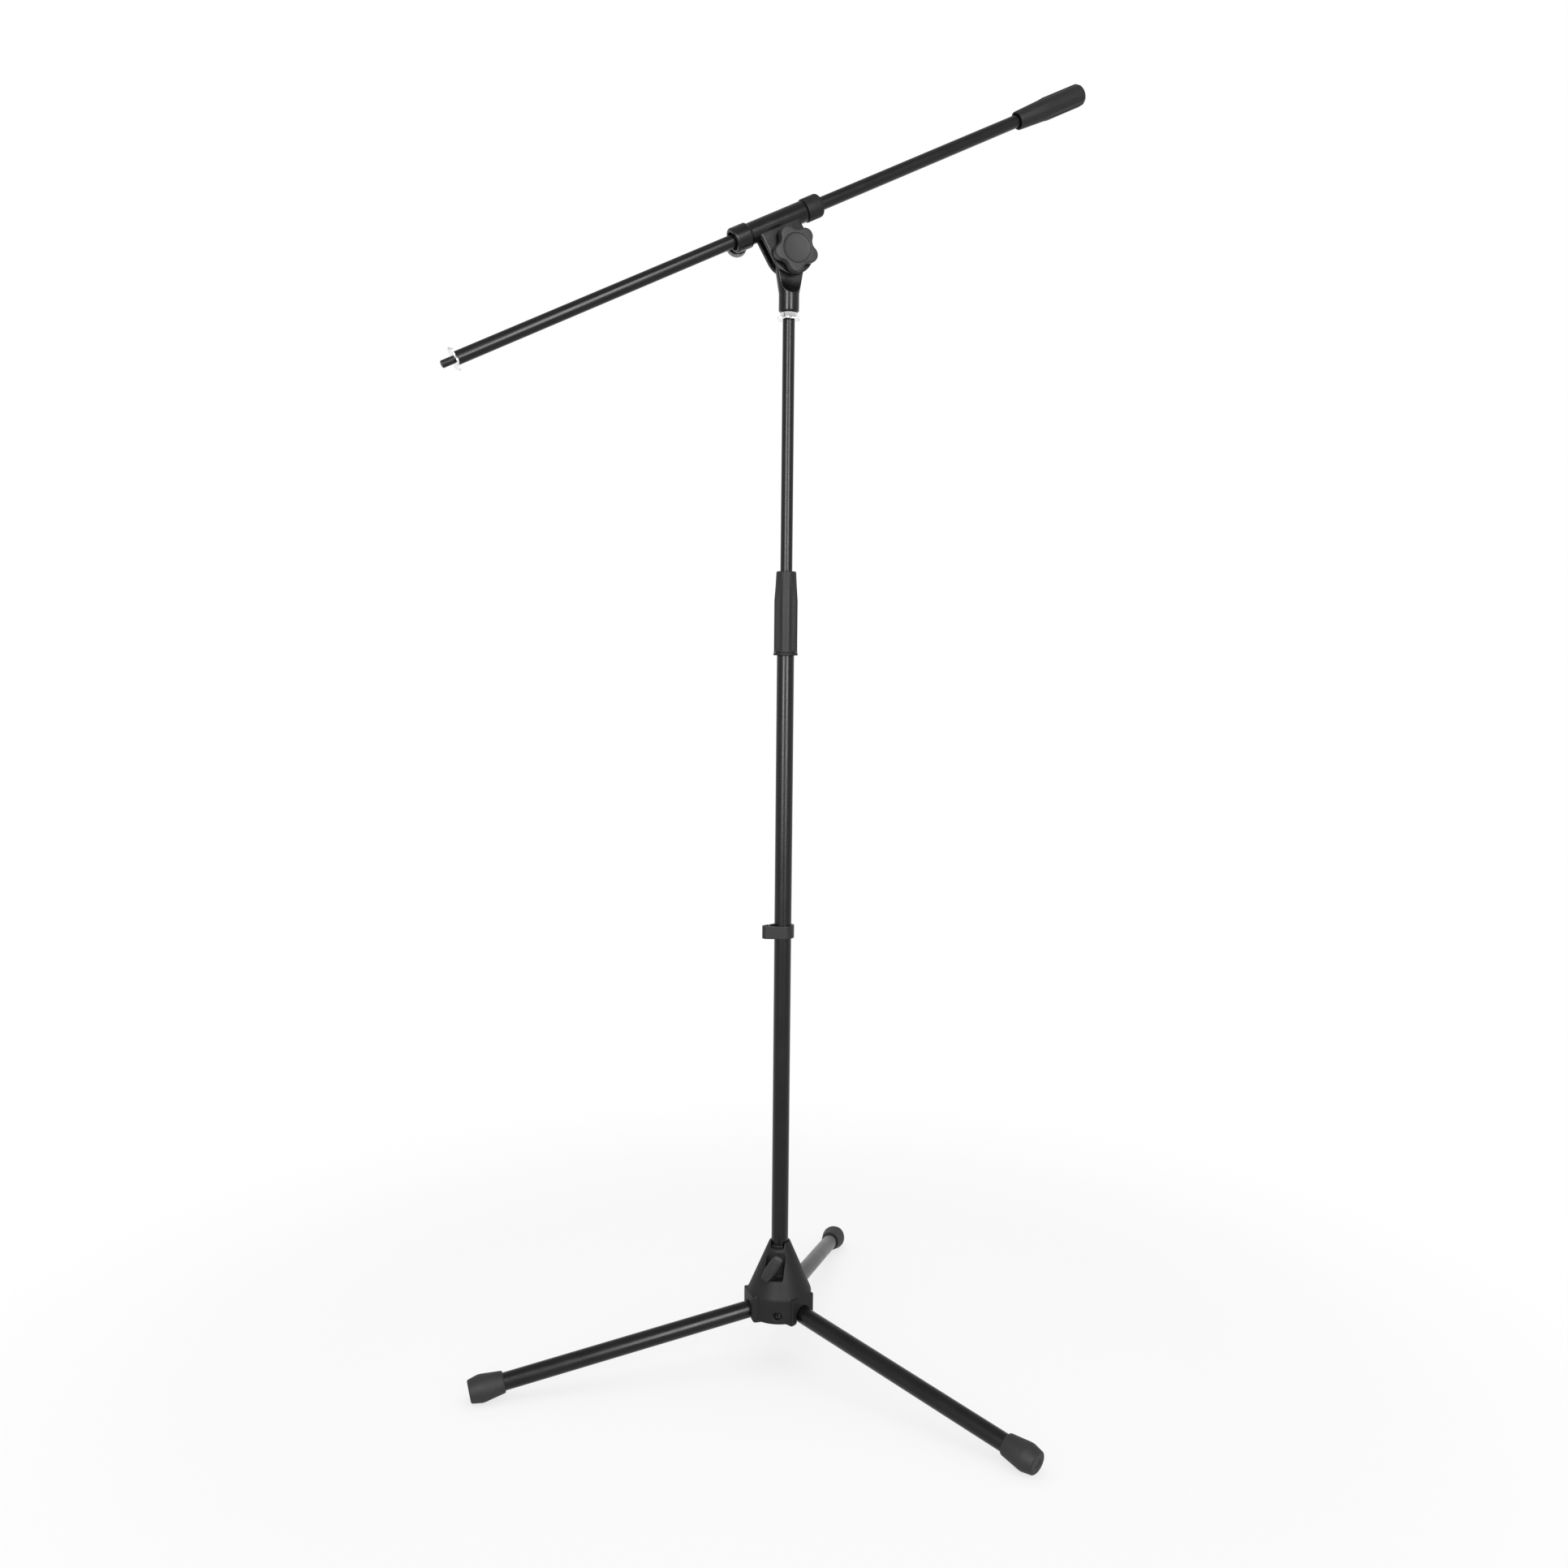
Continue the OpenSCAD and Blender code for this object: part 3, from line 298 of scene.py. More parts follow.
# %% Profiles and spinning
def softened(profile, radius, steps=4, closed=False):
    """The profile with each corner rounded, as far as its neighbours leave room."""
    out = []
    count = len(profile)
    for i, corner in enumerate(profile):
        if not closed and i in (0, count - 1):
            out.append(corner)
            continue
        here = Vector(corner)
        before, after = Vector(profile[i - 1]) - here, Vector(profile[(i + 1) % count]) - here
        if before.length < 1e-6 or after.length < 1e-6 or corner[0] < 1e-6:
            out.append(corner)
            continue
        half = before.angle(after) / 2
        if half > math.radians(86):
            out.append(corner)
            continue
        reach = min(radius / math.tan(half), 0.45 * before.length, 0.45 * after.length)
        start, end = here + before.normalized() * reach, here + after.normalized() * reach
        for k in range(steps + 1):
            t = k / steps
            out.append(tuple(start * (1 - t) ** 2 + here * (2 * t * (1 - t)) + end * t ** 2))
    return out


def spun(profile, steps=96, closed=False):
    """Points and faces of a profile of (radius, height) spun about Z."""
    points, faces, rings = [], [], []
    for r, z in profile:
        if r < 1e-6:
            rings.append([len(points)] * steps)
            points.append((0.0, 0.0, z))
        else:
            rings.append(range(len(points), len(points) + steps))
            points += [(r * math.cos(math.tau * k / steps), r * math.sin(math.tau * k / steps), z)
                       for k in range(steps)]
    pairs = list(zip(rings, rings[1:])) + ([(rings[-1], rings[0])] if closed else [])
    for a, b in pairs:
        for k in range(steps):
            n = (k + 1) % steps
            corners = list(dict.fromkeys((a[k], a[n], b[n], b[k])))
            if len(corners) > 2:
                faces.append(corners)
    return points, faces


def tube_profile(inner, outer, low, high, radius=0.4):
    return softened([(inner, low), (outer, low), (outer, high), (inner, high)], radius, closed=True)


print("profiles ready")

# %% [markdown]
# The tubes
#
# The mast, the rod, the boom and the legs are coated steel tube. A plain cylinder would do for their
# outline, but the eye reads a tube by its open end, so each keeps its bore and a small rounded lip.

# %% Tubes
LOWER_TUBE_R, ROD_R, BOOM_R = (9.8, 11.0), (6.4, 7.6), (6.9, 8.1)
TUBE_BORE, ROD_BORE, BOOM_BORE = 11.03, 7.66, 8.13
LOWER_TUBE_Z, ROD_Z = (71.41, 968.91), (569.71, 1349.71)
BOOM_LOW, WEIGHT_STEP, WEIGHT_END, BOOM_IN_WEIGHT = -442.6, 419.0, 485.5, 6.7
LEG_START, FOOT_AT, TUBE_IN_FOOT = 14.0, 339.3, 32.0
TUBES = {
    "lower_tube": ("lower_mast_tube", LOWER_TUBE_R, LOWER_TUBE_Z, MAST),
    "rod_tube": ("mast_rod", ROD_R, ROD_Z, MAST),
    "boom_bar": ("boom_tube", BOOM_R, (BOOM_LOW, WEIGHT_STEP + BOOM_IN_WEIGHT), BOOM @ LAY_X),
}
for side, place in LEG.items():
    TUBES["leg_bar_" + side] = (
        "leg_tube_" + side, LOWER_TUBE_R, (LEG_START, FOOT_AT + TUBE_IN_FOOT), place @ LAY_X)
for name, (node, radii, span, place) in TUBES.items():
    shape = spun(tube_profile(*radii, *span), 128, True)
    dress(name, mesh_of(name, *shape, place), [node])

# %% [markdown]
# The rubber feet
#
# A foot is a soft sleeve that swells to a ring and narrows to its end. The profile is drawn with a
# lip at the neck and generous radii, since moulded rubber has no crisp edge. Points below the floor
# are lifted to it, which gives the small flat that a soft foot makes where it stands.

# %% Feet
FOOT_LEN = 44.0
foot_profile = softened([
    (TUBE_BORE, TUBE_IN_FOOT), (TUBE_BORE, 0.0), (13.0, 0.0), (13.75, 2.0), (15.6, 16.0), (16.9, 25.0),
    (17.2, 29.0), (16.9, 31.5), (14.4, FOOT_LEN - 1.3), (12.7, FOOT_LEN), (6.0, FOOT_LEN),
    (5.0, FOOT_LEN - 1.0), (0.0, FOOT_LEN - 1.0)], 1.6, 5)
foot_shape = spun([(0.0, TUBE_IN_FOOT)] + foot_profile, 128)
for side, place in LEG.items():
    mesh = mesh_of("foot_cap_" + side, *foot_shape, place @ shift(FOOT_AT, 0, 0) @ LAY_X)
    for vertex in mesh.vertices:
        vertex.co.z = max(vertex.co.z, 0.0)
    dress("foot_cap_" + side, mesh, ["foot_" + side])

# %% [markdown]
# Flutes with Geometry Nodes
#
# The clutch and the counterweight have a fluted grip, and the thumb screw a knurled rim. All three
# follow one rule: a turned surface is pressed in along evenly spaced lines between two heights. A
# Geometry Nodes tree with named inputs states that rule once. The angle round the axis times the
# count says how far a point is from the nearest flute's middle, and a parabola of that distance moves
# it inwards.


# %% The flute tree
def group(name, inputs):
    tree = bpy.data.node_groups.new(name, "GeometryNodeTree")
    tree.interface.new_socket("Geometry", in_out="INPUT", socket_type="NodeSocketGeometry")
    for label, kind in inputs.items():
        tree.interface.new_socket(label, in_out="INPUT", socket_type=kind)
    tree.interface.new_socket("Geometry", in_out="OUTPUT", socket_type="NodeSocketGeometry")
    wired = Tree(tree)
    source = tree.nodes.new("NodeGroupInput")
    return wired, {s.name: Wire(wired, s) for s in source.outputs if s.name}


def close(wired, geometry, material):
    geometry = wired.node("GeometryNodeRealizeInstances", None, {"Geometry": geometry})
    geometry = wired.node("GeometryNodeSetMaterial", None, {"Geometry": geometry, "Material": material})
    out = wired.tree.nodes.new("NodeGroupOutput")
    wired.tree.links.new(geometry.socket, out.inputs[0])


def grown(name, mesh, wired, values):
    """The plain mesh that a Geometry Nodes tree makes of a mesh."""
    holder = bpy.data.objects.new(name, mesh)
    bpy.context.scene.collection.objects.link(holder)
    modifier = holder.modifiers.new("grow", "NODES")
    modifier.node_group = wired.tree
    for item in wired.tree.interface.items_tree:
        if item.in_out == "INPUT" and item.name in values:
            modifier[item.identifier] = values[item.name]
    grown_mesh = evaluated(holder)
    holder.modifiers.remove(modifier)
    bpy.data.objects.remove(holder)
    return grown_mesh


flute, given = group("flutes", {
    **{label: "NodeSocketFloat" for label in (
        "Count", "First", "Share", "Depth", "From", "Rise", "To", "Fall", "Inside")},
    "Material": "NodeSocketMaterial"})
where = flute.node("GeometryNodeInputPosition")
x, y, z = [flute.node("ShaderNodeSeparateXYZ", None, [where], output=k) for k in range(3)]
turns = (y.math("ARCTAN2", x) - given["First"]) * given["Count"] / math.tau
off_line = ((turns + 0.5).math("FRACT") - 0.5).math("ABSOLUTE") * 2.0 / given["Share"]
dip = (1.0 - off_line * off_line).math("MAXIMUM", 0.0)
rise = flute.node("ShaderNodeMapRange", {"clamp": True}, [
    z, given["From"], given["From"] + given["Rise"], 0.0, 1.0])
fall = flute.node("ShaderNodeMapRange", {"clamp": True}, [
    z, given["To"] - given["Fall"], given["To"], 1.0, 0.0])
flat = flute.node("ShaderNodeCombineXYZ", None, [x, y, 0.0])
radius = flute.node("ShaderNodeVectorMath", {"operation": "LENGTH"}, [flat], output=1)
outside = radius.math("GREATER_THAN", given["Inside"])
inward = flute.node("ShaderNodeVectorMath", {"operation": "NORMALIZE"}, [flat])
push = flute.node("ShaderNodeVectorMath", {"operation": "SCALE"}, {
    0: inward, "Scale": 0.0 - dip * rise * fall * outside * given["Depth"]})
moved = flute.node("GeometryNodeSetPosition", None, {"Geometry": given["Geometry"], "Offset": push})
close(flute, moved, given["Material"])
print("flute tree:", len(flute.tree.nodes), "nodes")


# %% [markdown]
# The twist clutch
#
# The grip is straight where the hand turns it and tapers to the rod, with twelve broad flutes that
# fade out in the taper. Rings are added along it, because a point can only be moved where there is
# one. Below it sits a plain ring, the visible edge of the threaded seat.

# %% Clutch
def ringed(profile, low, high, gap):
    """The profile with extra points between two heights, so that the flutes can start and end there."""
    out = [profile[0]]
    for (r0, z0), (r1, z1) in zip(profile, profile[1:]):
        if min(z0, z1) >= low - 1e-6 and max(z0, z1) <= high + 1e-6 and abs(z1 - z0) > gap:
            parts = int(abs(z1 - z0) / gap)
            out += [(r0 + (r1 - r0) * k / parts, z0 + (z1 - z0) * k / parts) for k in range(1, parts)]
        out.append((r1, z1))
    return out


def fluted(name, profile, nodes, place, values, steps=360, closed=False):
    points, faces = spun(profile, steps, closed)
    made = grown(name, mesh_of(name, points, faces, Matrix.Identity(4)), flute,
                 {**values, "Material": FINISH[SLOT_OF[nodes[0]]]})
    made.transform(place)
    return dress(name, made, nodes, sharp=40.0)


SEAT_Z, GRIP_Z, TAPER_Z, GRIP_TOP_Z = 931.91, 935.81, 1000.81, 1038.01
GRIP_R, GRIP_BORE, GRIP_MOUTH, RING_R, THREAD_R = 15.25, 12.7, 8.3, 15.4, 12.4
COLLET_FOOT_Z, COLLET_TOP_Z = 993.5, 1013.5
grip = softened([
    (GRIP_BORE, GRIP_Z), (GRIP_R, GRIP_Z), (GRIP_R, TAPER_Z), (12.6, GRIP_TOP_Z - 0.8),
    (11.7, GRIP_TOP_Z), (GRIP_MOUTH, GRIP_TOP_Z), (GRIP_MOUTH, COLLET_TOP_Z + 0.1),
    (9.3, COLLET_TOP_Z), (GRIP_BORE, COLLET_FOOT_Z)], 0.5, 4, closed=True)
grip = ringed(grip + grip[:1], GRIP_Z, GRIP_TOP_Z, 1.6)[:-1]
GRIP_FLUTES = {"Count": 12.0, "Share": 0.9, "Depth": 0.8}
fluted("clutch_sleeve", grip, ["clutch_grip"], MAST, {
    **GRIP_FLUTES, "First": math.radians(8.4), "From": GRIP_Z + 1.2, "Rise": 1.6,
    "To": GRIP_TOP_Z - 3.0, "Fall": 34.0, "Inside": 12.75}, closed=True)
THREAD_TOP_Z, TUBE_TOP_Z = 988.91, 968.94
seat = softened([
    (TUBE_BORE, SEAT_Z), (RING_R, SEAT_Z), (RING_R, GRIP_Z - 0.3), (THREAD_R, GRIP_Z - 0.3),
    (THREAD_R, THREAD_TOP_Z), (ROD_BORE, THREAD_TOP_Z), (ROD_BORE, TUBE_TOP_Z),
    (TUBE_BORE, TUBE_TOP_Z)], 0.4, 4, closed=True)
dress("clutch_seat", mesh_of("clutch_seat", *spun(seat, 128, True), MAST), ["clutch_body"])

# %% [markdown]
# The counterweight
#
# Its cover has an open neck, a cone and a fluted grip that ends in a dome. The dark ring at the neck
# is a real counterbore, so the shadow there is cast and not painted.

# %% Counterweight
NECK_AT, MOUTH_LEN, MOUTH_R, NECK_R, WEIGHT_R, DOME_R = 377.0, 8.0, 9.4, 11.75, 14.5, 8.0


def quarter(radius, end, bend, step=10):
    """Points of a rounded end: from the side of a turned piece to its end face."""
    angles = [math.radians(d) for d in range(90, -1, -step)]
    return [(radius - bend + bend * math.sin(a), end - bend + bend * math.cos(a)) for a in angles]


cover = softened([
    (BOOM_BORE, NECK_AT + MOUTH_LEN), (MOUTH_R, NECK_AT + MOUTH_LEN), (MOUTH_R, NECK_AT),
    (NECK_R, NECK_AT), (WEIGHT_R - 1.0, WEIGHT_STEP - 2.5), (WEIGHT_R, WEIGHT_STEP + 4.0)], 0.9, 4)
dome = quarter(WEIGHT_R, WEIGHT_END, DOME_R)
cover = ringed(cover + dome[:1], WEIGHT_STEP, WEIGHT_END, 1.6) + dome[1:] + [(0.0, WEIGHT_END)]
inner_end = [(BOOM_BORE, WEIGHT_STEP + 6.0)]
fluted("counterweight_cover", inner_end + cover, ["counterweight_grip"], BOOM @ LAY_X, {
    **GRIP_FLUTES, "First": 0.0, "From": WEIGHT_STEP, "Rise": 5.0,
    "To": WEIGHT_END - 1.5, "Fall": 6.0, "Inside": 11.2})

# %% [markdown]
# The guide cap
#
# A plastic cap closes the high end of the boom sleeve. It is a short turned ring with one large
# radius, drawn as an arc in the profile.

# %% Guide cap
CAP_START, CAP_END, CAP_R, CAP_BORE, CAP_SEAT, CAP_FACE = 40.3, 63.5, 14.6, 8.16, 12.43, 6.7
cap = [
    (CAP_BORE, CAP_END - CAP_FACE), (CAP_SEAT, CAP_END - CAP_FACE), (CAP_SEAT, CAP_START),
    (CAP_R - 0.5, CAP_START), (CAP_R - 0.1, CAP_START + 0.2), (CAP_R, CAP_START + 0.7),
    *quarter(CAP_R, CAP_END, 4.2), (CAP_BORE, CAP_END)]
dress("sleeve_cap", mesh_of("sleeve_cap", *spun(cap, 128, True), BOOM @ LAY_X), ["boom_guide_cap"])

# %% [markdown]
# Lobed outlines
#
# The star knob and the lock nuts share one outline: round lobes joined by hollow arcs. Both arcs are
# true circles that touch, so an outline set back by any distance is found exactly by making the lobe
# smaller and the hollow larger. Stacking such outlines gives a moulding with rounded edges.


# %% Lobed outlines
def round_way(angle):
    return Vector((math.cos(angle), math.sin(angle)))


def lobed(count, outer, lobe, hollow, inset=0.0, steps=12):
    at = outer - lobe
    half = math.pi / count
    far = at * math.cos(half) + math.sqrt((lobe + hollow) ** 2 - (at * math.sin(half)) ** 2)
    lean = math.atan2(far * math.sin(half), far * math.cos(half) - at)
    points = []
    for k in range(count):
        turned = Matrix.Rotation(2 * half * k, 2)
        for s in range(steps + 1):
            a = -lean + 2 * lean * s / steps
            points.append(turned @ (Vector((at, 0.0)) + (lobe - inset) * round_way(a)))
        centre = far * round_way(half)
        first = lean + math.pi
        sweep = 2 * (half - lean)
        for s in range(1, steps):
            a = first + sweep * s / steps
            points.append(turned @ (centre + (hollow + inset) * round_way(a)))
    return points


def stacked(rings, ends=(True, True)):
    """Points and faces of rings with equal counts, each ring a list of 3-D points."""
    count = len(rings[0])
    points = [p for ring in rings for p in ring]
    faces = []
    for i in range(len(rings) - 1):
        for k in range(count):
            n = (k + 1) % count
            faces.append((i * count + k, i * count + n, (i + 1) * count + n, (i + 1) * count + k))
    if ends[0]:
        faces.append(list(range(count))[::-1])
    if ends[1]:
        faces.append([len(points) - count + k for k in range(count)])
    return points, faces


def round_like(outline, r, z):
    """A circle with one point for each point of an outline, at the same angle."""
    return [(r * p.normalized()).to_3d() + Vector((0, 0, z)) for p in outline]


def lifted(outline, z):
    return [Vector((p.x, p.y, z)) for p in outline]


print("outlines ready")

# %% [markdown]
# The star knob
#
# Five broad lobes with a rounded rim stand round a shallow round dish. The rim is a quarter arc of
# outlines, and the dish is a set of shrinking circles on a sphere.

# %% Star knob
KNOB_R, KNOB_OUT, DISH_R, INSERT_R, HUB_R = 29.0, 11.86, 18.3, 6.53, 14.5
KNOB = SMALL @ shift(0, 0, TILT_Z) @ turn(90, "X") @ shift(0, 0, KNOB_OUT) @ turn(270, "Z")
star = (5, KNOB_R, KNOB_R * 0.34, KNOB_R * 0.36)
back, front, back_edge, rim = 2.5, 14.5, 1.2, 1.8
outline = lobed(*star)
hub = ((INSERT_R, front - 3.0), (INSERT_R, 0.0), (HUB_R - 0.5, 0.0), (HUB_R, 0.5), (HUB_R, back))
rings = [round_like(outline, r, z) for r, z in hub]
for a in (0, 30, 60, 90):
    set_back = back_edge * (1 - math.sin(math.radians(a)))
    rings.append(lifted(lobed(*star, inset=set_back), back + back_edge * (1 - math.cos(math.radians(a)))))
for a in (0, 18, 36, 54, 72, 90):
    set_back = rim * (1 - math.cos(math.radians(a)))
    rings.append(lifted(lobed(*star, inset=set_back), front - rim * (1 - math.sin(math.radians(a)))))
dish_edge = ((0.9, 0.0), (0.4, 0.0), (0.1, 0.08), (-0.15, 0.3), (-0.3, 0.75), (-0.6, 1.0))
rings += [round_like(outline, DISH_R + dr, front - d) for dr, d in dish_edge]
floor_r = DISH_R - 0.6
for r in (15.0, 11.5, 8.0, 4.5, 1.5):
    rings.append(round_like(outline, r, front - 1.0 - 0.7 * (1 - (r / floor_r) ** 2)))
dress("star_knob_cap", mesh_of("star_knob_cap", *stacked(rings, (True, True)), KNOB), ["star_knob"], 40.0)

# %% [markdown]
# The lock nuts
#
# A thin chromed nut with six lobes sits under the head, with a round hub, and another at the boom's
# low end. Their plated edges are rounded like the knob's, only finer.


# %% Lock nuts
NUT_R, NUT_Z, NUT_T, NUT_HUB = 15.3, 1350.01, 2.4, 7.1


def nut_rings(thick, hub=0.0, hub_r=11.0, bore=4.82):
    lobes = (6, NUT_R, NUT_R * 0.24, NUT_R * 0.3)
    edge = 0.7
    shape = lobed(*lobes, steps=8)
    stack = [round_like(shape, bore, 0.0)]
    for a in (90, 60, 30, 0):
        stack.append(lifted(lobed(*lobes, inset=edge * (1 - math.cos(math.radians(a))), steps=8),
                            edge * (1 - math.sin(math.radians(a)))))
    for a in (0, 30, 60, 90):
        stack.append(lifted(lobed(*lobes, inset=edge * (1 - math.cos(math.radians(a))), steps=8),
                            thick - edge * (1 - math.sin(math.radians(a)))))
    if hub:
        stack += [round_like(shape, hub_r + 0.5, thick), round_like(shape, hub_r, thick + 0.5)]
        for set_in, drop in ((0, 1.5), (0.45, 0.45), (1.5, 0)):
            stack.append(round_like(shape, hub_r - set_in, thick + hub - drop))
    stack.append(round_like(shape, bore, thick + hub))
    stack.append(stack[0])
    return stack


dress("nut_under_head", mesh_of("nut_under_head", *stacked(nut_rings(NUT_T, NUT_HUB), (False, False)),
      MAST @ shift(0, 0, NUT_Z)), ["mast_lock_nut"], 50.0)
dress("nut_on_boom", mesh_of("nut_on_boom", *stacked(nut_rings(NUT_T), (False, False)),
      BOOM @ shift(BOOM_LOW - 0.3, 0, 0) @ turn(-90, "Y") @ turn(15, "Z")), ["boom_lock_nut"], 50.0)

# %% [markdown]
# The wing screw
#
# The wing is a leaf with blunt tips, cut back behind so that it clears the cone when it turns. Its
# front is a straight strip, and a bevel falls away from that strip to the leaf's curved sides, so the
# bevel is widest in the middle. Each ring of points lies between the leaf's outline and the strip's.

# %% Wing screw
RECESS_ANGLE, SCREW_Z, WING_LEAN = 232.5, 139.41, 32.0
WING = SMALL @ turn(RECESS_ANGLE, "Z") @ shift(0, 0, SCREW_Z) @ turn(-WING_LEAN, "X")
WING_ROOT, WING_BACK, WING_TIP, WING_FRONT = 20.66, 26.66, 34.26, 39.75
WING_REACH, WING_HALF, WING_BEVEL = 19.5, 7.5, 3.2
STEM_TIP, STEM_R = 13.63, 4.0
LEAF_LENGTH = 1.6 * 2 * WING_REACH
WING_TURNS = [math.tau * k / 96 for k in range(96)]
SIDEWAYS = [abs(math.sin(a)) for a in WING_TURNS]


def blended(*reaches):
    """The least of several distances, with the corner between them rounded."""
    return sum(reach ** -24 for reach in reaches) ** (-1 / 24)


def leaf(inset=0.0):
    """Distances from the screw's axis to the leaf's edge, all round, starting at its long axis."""
    arc = (LEAF_LENGTH ** 2 + (2 * WING_HALF) ** 2) / (8 * WING_HALF)
    centre = arc - WING_HALF
    reaches = []
    for s in SIDEWAYS:
        side = math.sqrt((s * centre) ** 2 + (arc - inset) ** 2 - centre ** 2) - s * centre
        reaches.append(blended(side, WING_REACH - inset))
    return reaches


def strip():
    """Distances from the screw's axis to the edge of the flat strip on the front."""
    half = WING_HALF - WING_BEVEL
    return [blended(half / max(s, 1e-3), WING_REACH - WING_BEVEL) for s in SIDEWAYS]


def wing_ring(reaches, depth):
    """Points at those distances; depth gives the place along the screw from the distance."""
    return [Vector((depth(r, k), r * math.sin(a), -r * math.cos(a)))
            for k, (r, a) in enumerate(zip(reaches, WING_TURNS))]


def behind(r, lift=0.0):
    return WING_BACK + (WING_TIP - WING_BACK) * (r - 1.0) / (WING_REACH - 1.0) + lift


edge_of_leaf, edge_of_strip = leaf(), strip()
fall_off = [(e - s) * max(sideways, 0.45) for e, s, sideways in zip(edge_of_leaf, edge_of_strip, SIDEWAYS)]
blade = [wing_ring(leaf(1.0), lambda r, k: behind(r)), wing_ring(leaf(0.25), lambda r, k: behind(r, 0.25)),
         wing_ring(edge_of_leaf, lambda r, k: behind(r, 0.9))]
BEVEL_STEPS = ((1.0, 0.7), (0.97, 0.2), (0.88, 0.0), (0.5, 0.0), (0.12, 0.0), (0.0, 0.12), (-0.12, 0.0))
for share, drop in BEVEL_STEPS:
    between = [s + (e - s) * share for e, s in zip(edge_of_leaf, edge_of_strip)]
    blade.append(wing_ring(between, lambda r, k, share=share, drop=drop: (
        WING_FRONT - max(share, 0.0) * fall_off[k] - drop)))
points, faces = stacked(blade)
stem, stem_faces = spun(softened([
    (0, STEM_TIP), (STEM_R, STEM_TIP), (STEM_R, WING_ROOT), (6.6, WING_ROOT), (5.6, 31.2), (0, 33.2)],
    0.8), 48)
faces += [[k + len(points) for k in face] for face in stem_faces]
points += [LAY_X @ Vector(p) for p in stem]
dress("wing_and_stem", mesh_of("wing_and_stem", points, faces, WING), ["wing_screw"], 30.0)

# %% [markdown]
# The boom's stud and its thread
#
# The microphone holder screws on a 3/8 inch stud with 16 turns to the inch. A thread is a section
# swept along a spiral, which Geometry Nodes do with Curve to Mesh. The core is turned, and the
# spiral's crest stays on the stud's outside size.

# %% Threaded stud
thread, given = group("thread", {
    **{label: "NodeSocketFloat" for label in ("Turns", "Radius", "Length", "Tooth")},
    "Material": "NodeSocketMaterial"})
spiral = thread.node("GeometryNodeCurveSpiral", None, {
    "Resolution": 40, "Rotations": given["Turns"], "Start Radius": given["Radius"],
    "End Radius": given["Radius"], "Height": given["Length"]})
tooth = thread.node("GeometryNodeCurvePrimitiveCircle", None, {"Resolution": 6, "Radius": given["Tooth"]})
ridge = thread.node("GeometryNodeCurveToMesh", None, {
    "Curve": spiral, "Profile Curve": tooth, "Fill Caps": True})
both = thread.node("GeometryNodeJoinGeometry")
for part in (given["Geometry"], ridge):
    thread.tree.links.new(part.socket, both.socket.node.inputs[0])
close(thread, both, given["Material"])

STUD_R, PLUG_R, STUD_OUT, STUD_PLUG = 4.25, 6.87, 17.9, 26.0
THREAD_FROM, THREAD_TURNS, THREAD_PITCH = 0.9, 8.2, 25.4 / 16
core = softened([
    (0, 0.0), (3.7, 0.0), (STUD_R, 0.7), (STUD_R, STUD_OUT), (PLUG_R, STUD_OUT),
    (PLUG_R, STUD_OUT + STUD_PLUG), (0, STUD_OUT + STUD_PLUG)], 0.3)
core = [(r, z - THREAD_FROM) for r, z in core]
stud = grown("stud", mesh_of("stud", *spun(core, 48), Matrix.Identity(4)), thread, {
    "Turns": THREAD_TURNS, "Radius": 4.28, "Length": THREAD_TURNS * THREAD_PITCH, "Tooth": 0.5,
    "Material": FINISH["dark_steel"]})
stud.transform(BOOM @ shift(BOOM_LOW - STUD_OUT + THREAD_FROM, 0, 0) @ LAY_X)
dress("threaded_stud", stud, ["boom_stud"])

# %% [markdown]
# The thumb screw
#
# Behind the clamp collar a steel screw holds the boom. Its rim is a straight knurl, which is the
# flute rule again with many narrow lines.

# %% Thumb screw
THUMB_X, THUMB_LEAN, THUMB_TIP, THUMB_HEAD = -53.45, 14.0, 10.7, 19.3
THUMB_R, THUMB_STEM_R, THUMB_DISH_R = 13.0, 3.0, 7.8
head = softened([
    (0, THUMB_TIP), (THUMB_STEM_R, THUMB_TIP), (THUMB_STEM_R, THUMB_HEAD), (THUMB_R - 1, THUMB_HEAD),
    (THUMB_R, THUMB_HEAD + 1), (THUMB_R, THUMB_HEAD + 6), (THUMB_R - 1, THUMB_HEAD + 7),
    (THUMB_DISH_R, THUMB_HEAD + 6), (0, THUMB_HEAD + 6)], 0.4)
THUMB = BOOM @ shift(THUMB_X, 0, 0) @ turn(-THUMB_LEAN, "X") @ LAY_Y
fluted("thumb_screw_head", ringed(head, THUMB_HEAD + 0.7, THUMB_HEAD + 6.2, 0.6), ["thumb_screw"], THUMB, {
    "Count": 28.0, "First": 0.0, "Share": 0.75, "Depth": 1.1, "From": THUMB_HEAD + 0.1, "Rise": 0.7,
    "To": THUMB_HEAD + 6.9, "Fall": 0.7, "Inside": 11.6}, steps=320)

# %% [markdown]
# The pivot bolts
#
# Three equal hexagon bolts hold the legs, one third of a turn apart. One bolt is drawn, and Geometry
# Nodes put it on the three corners of a circle, turned to face along each hinge.

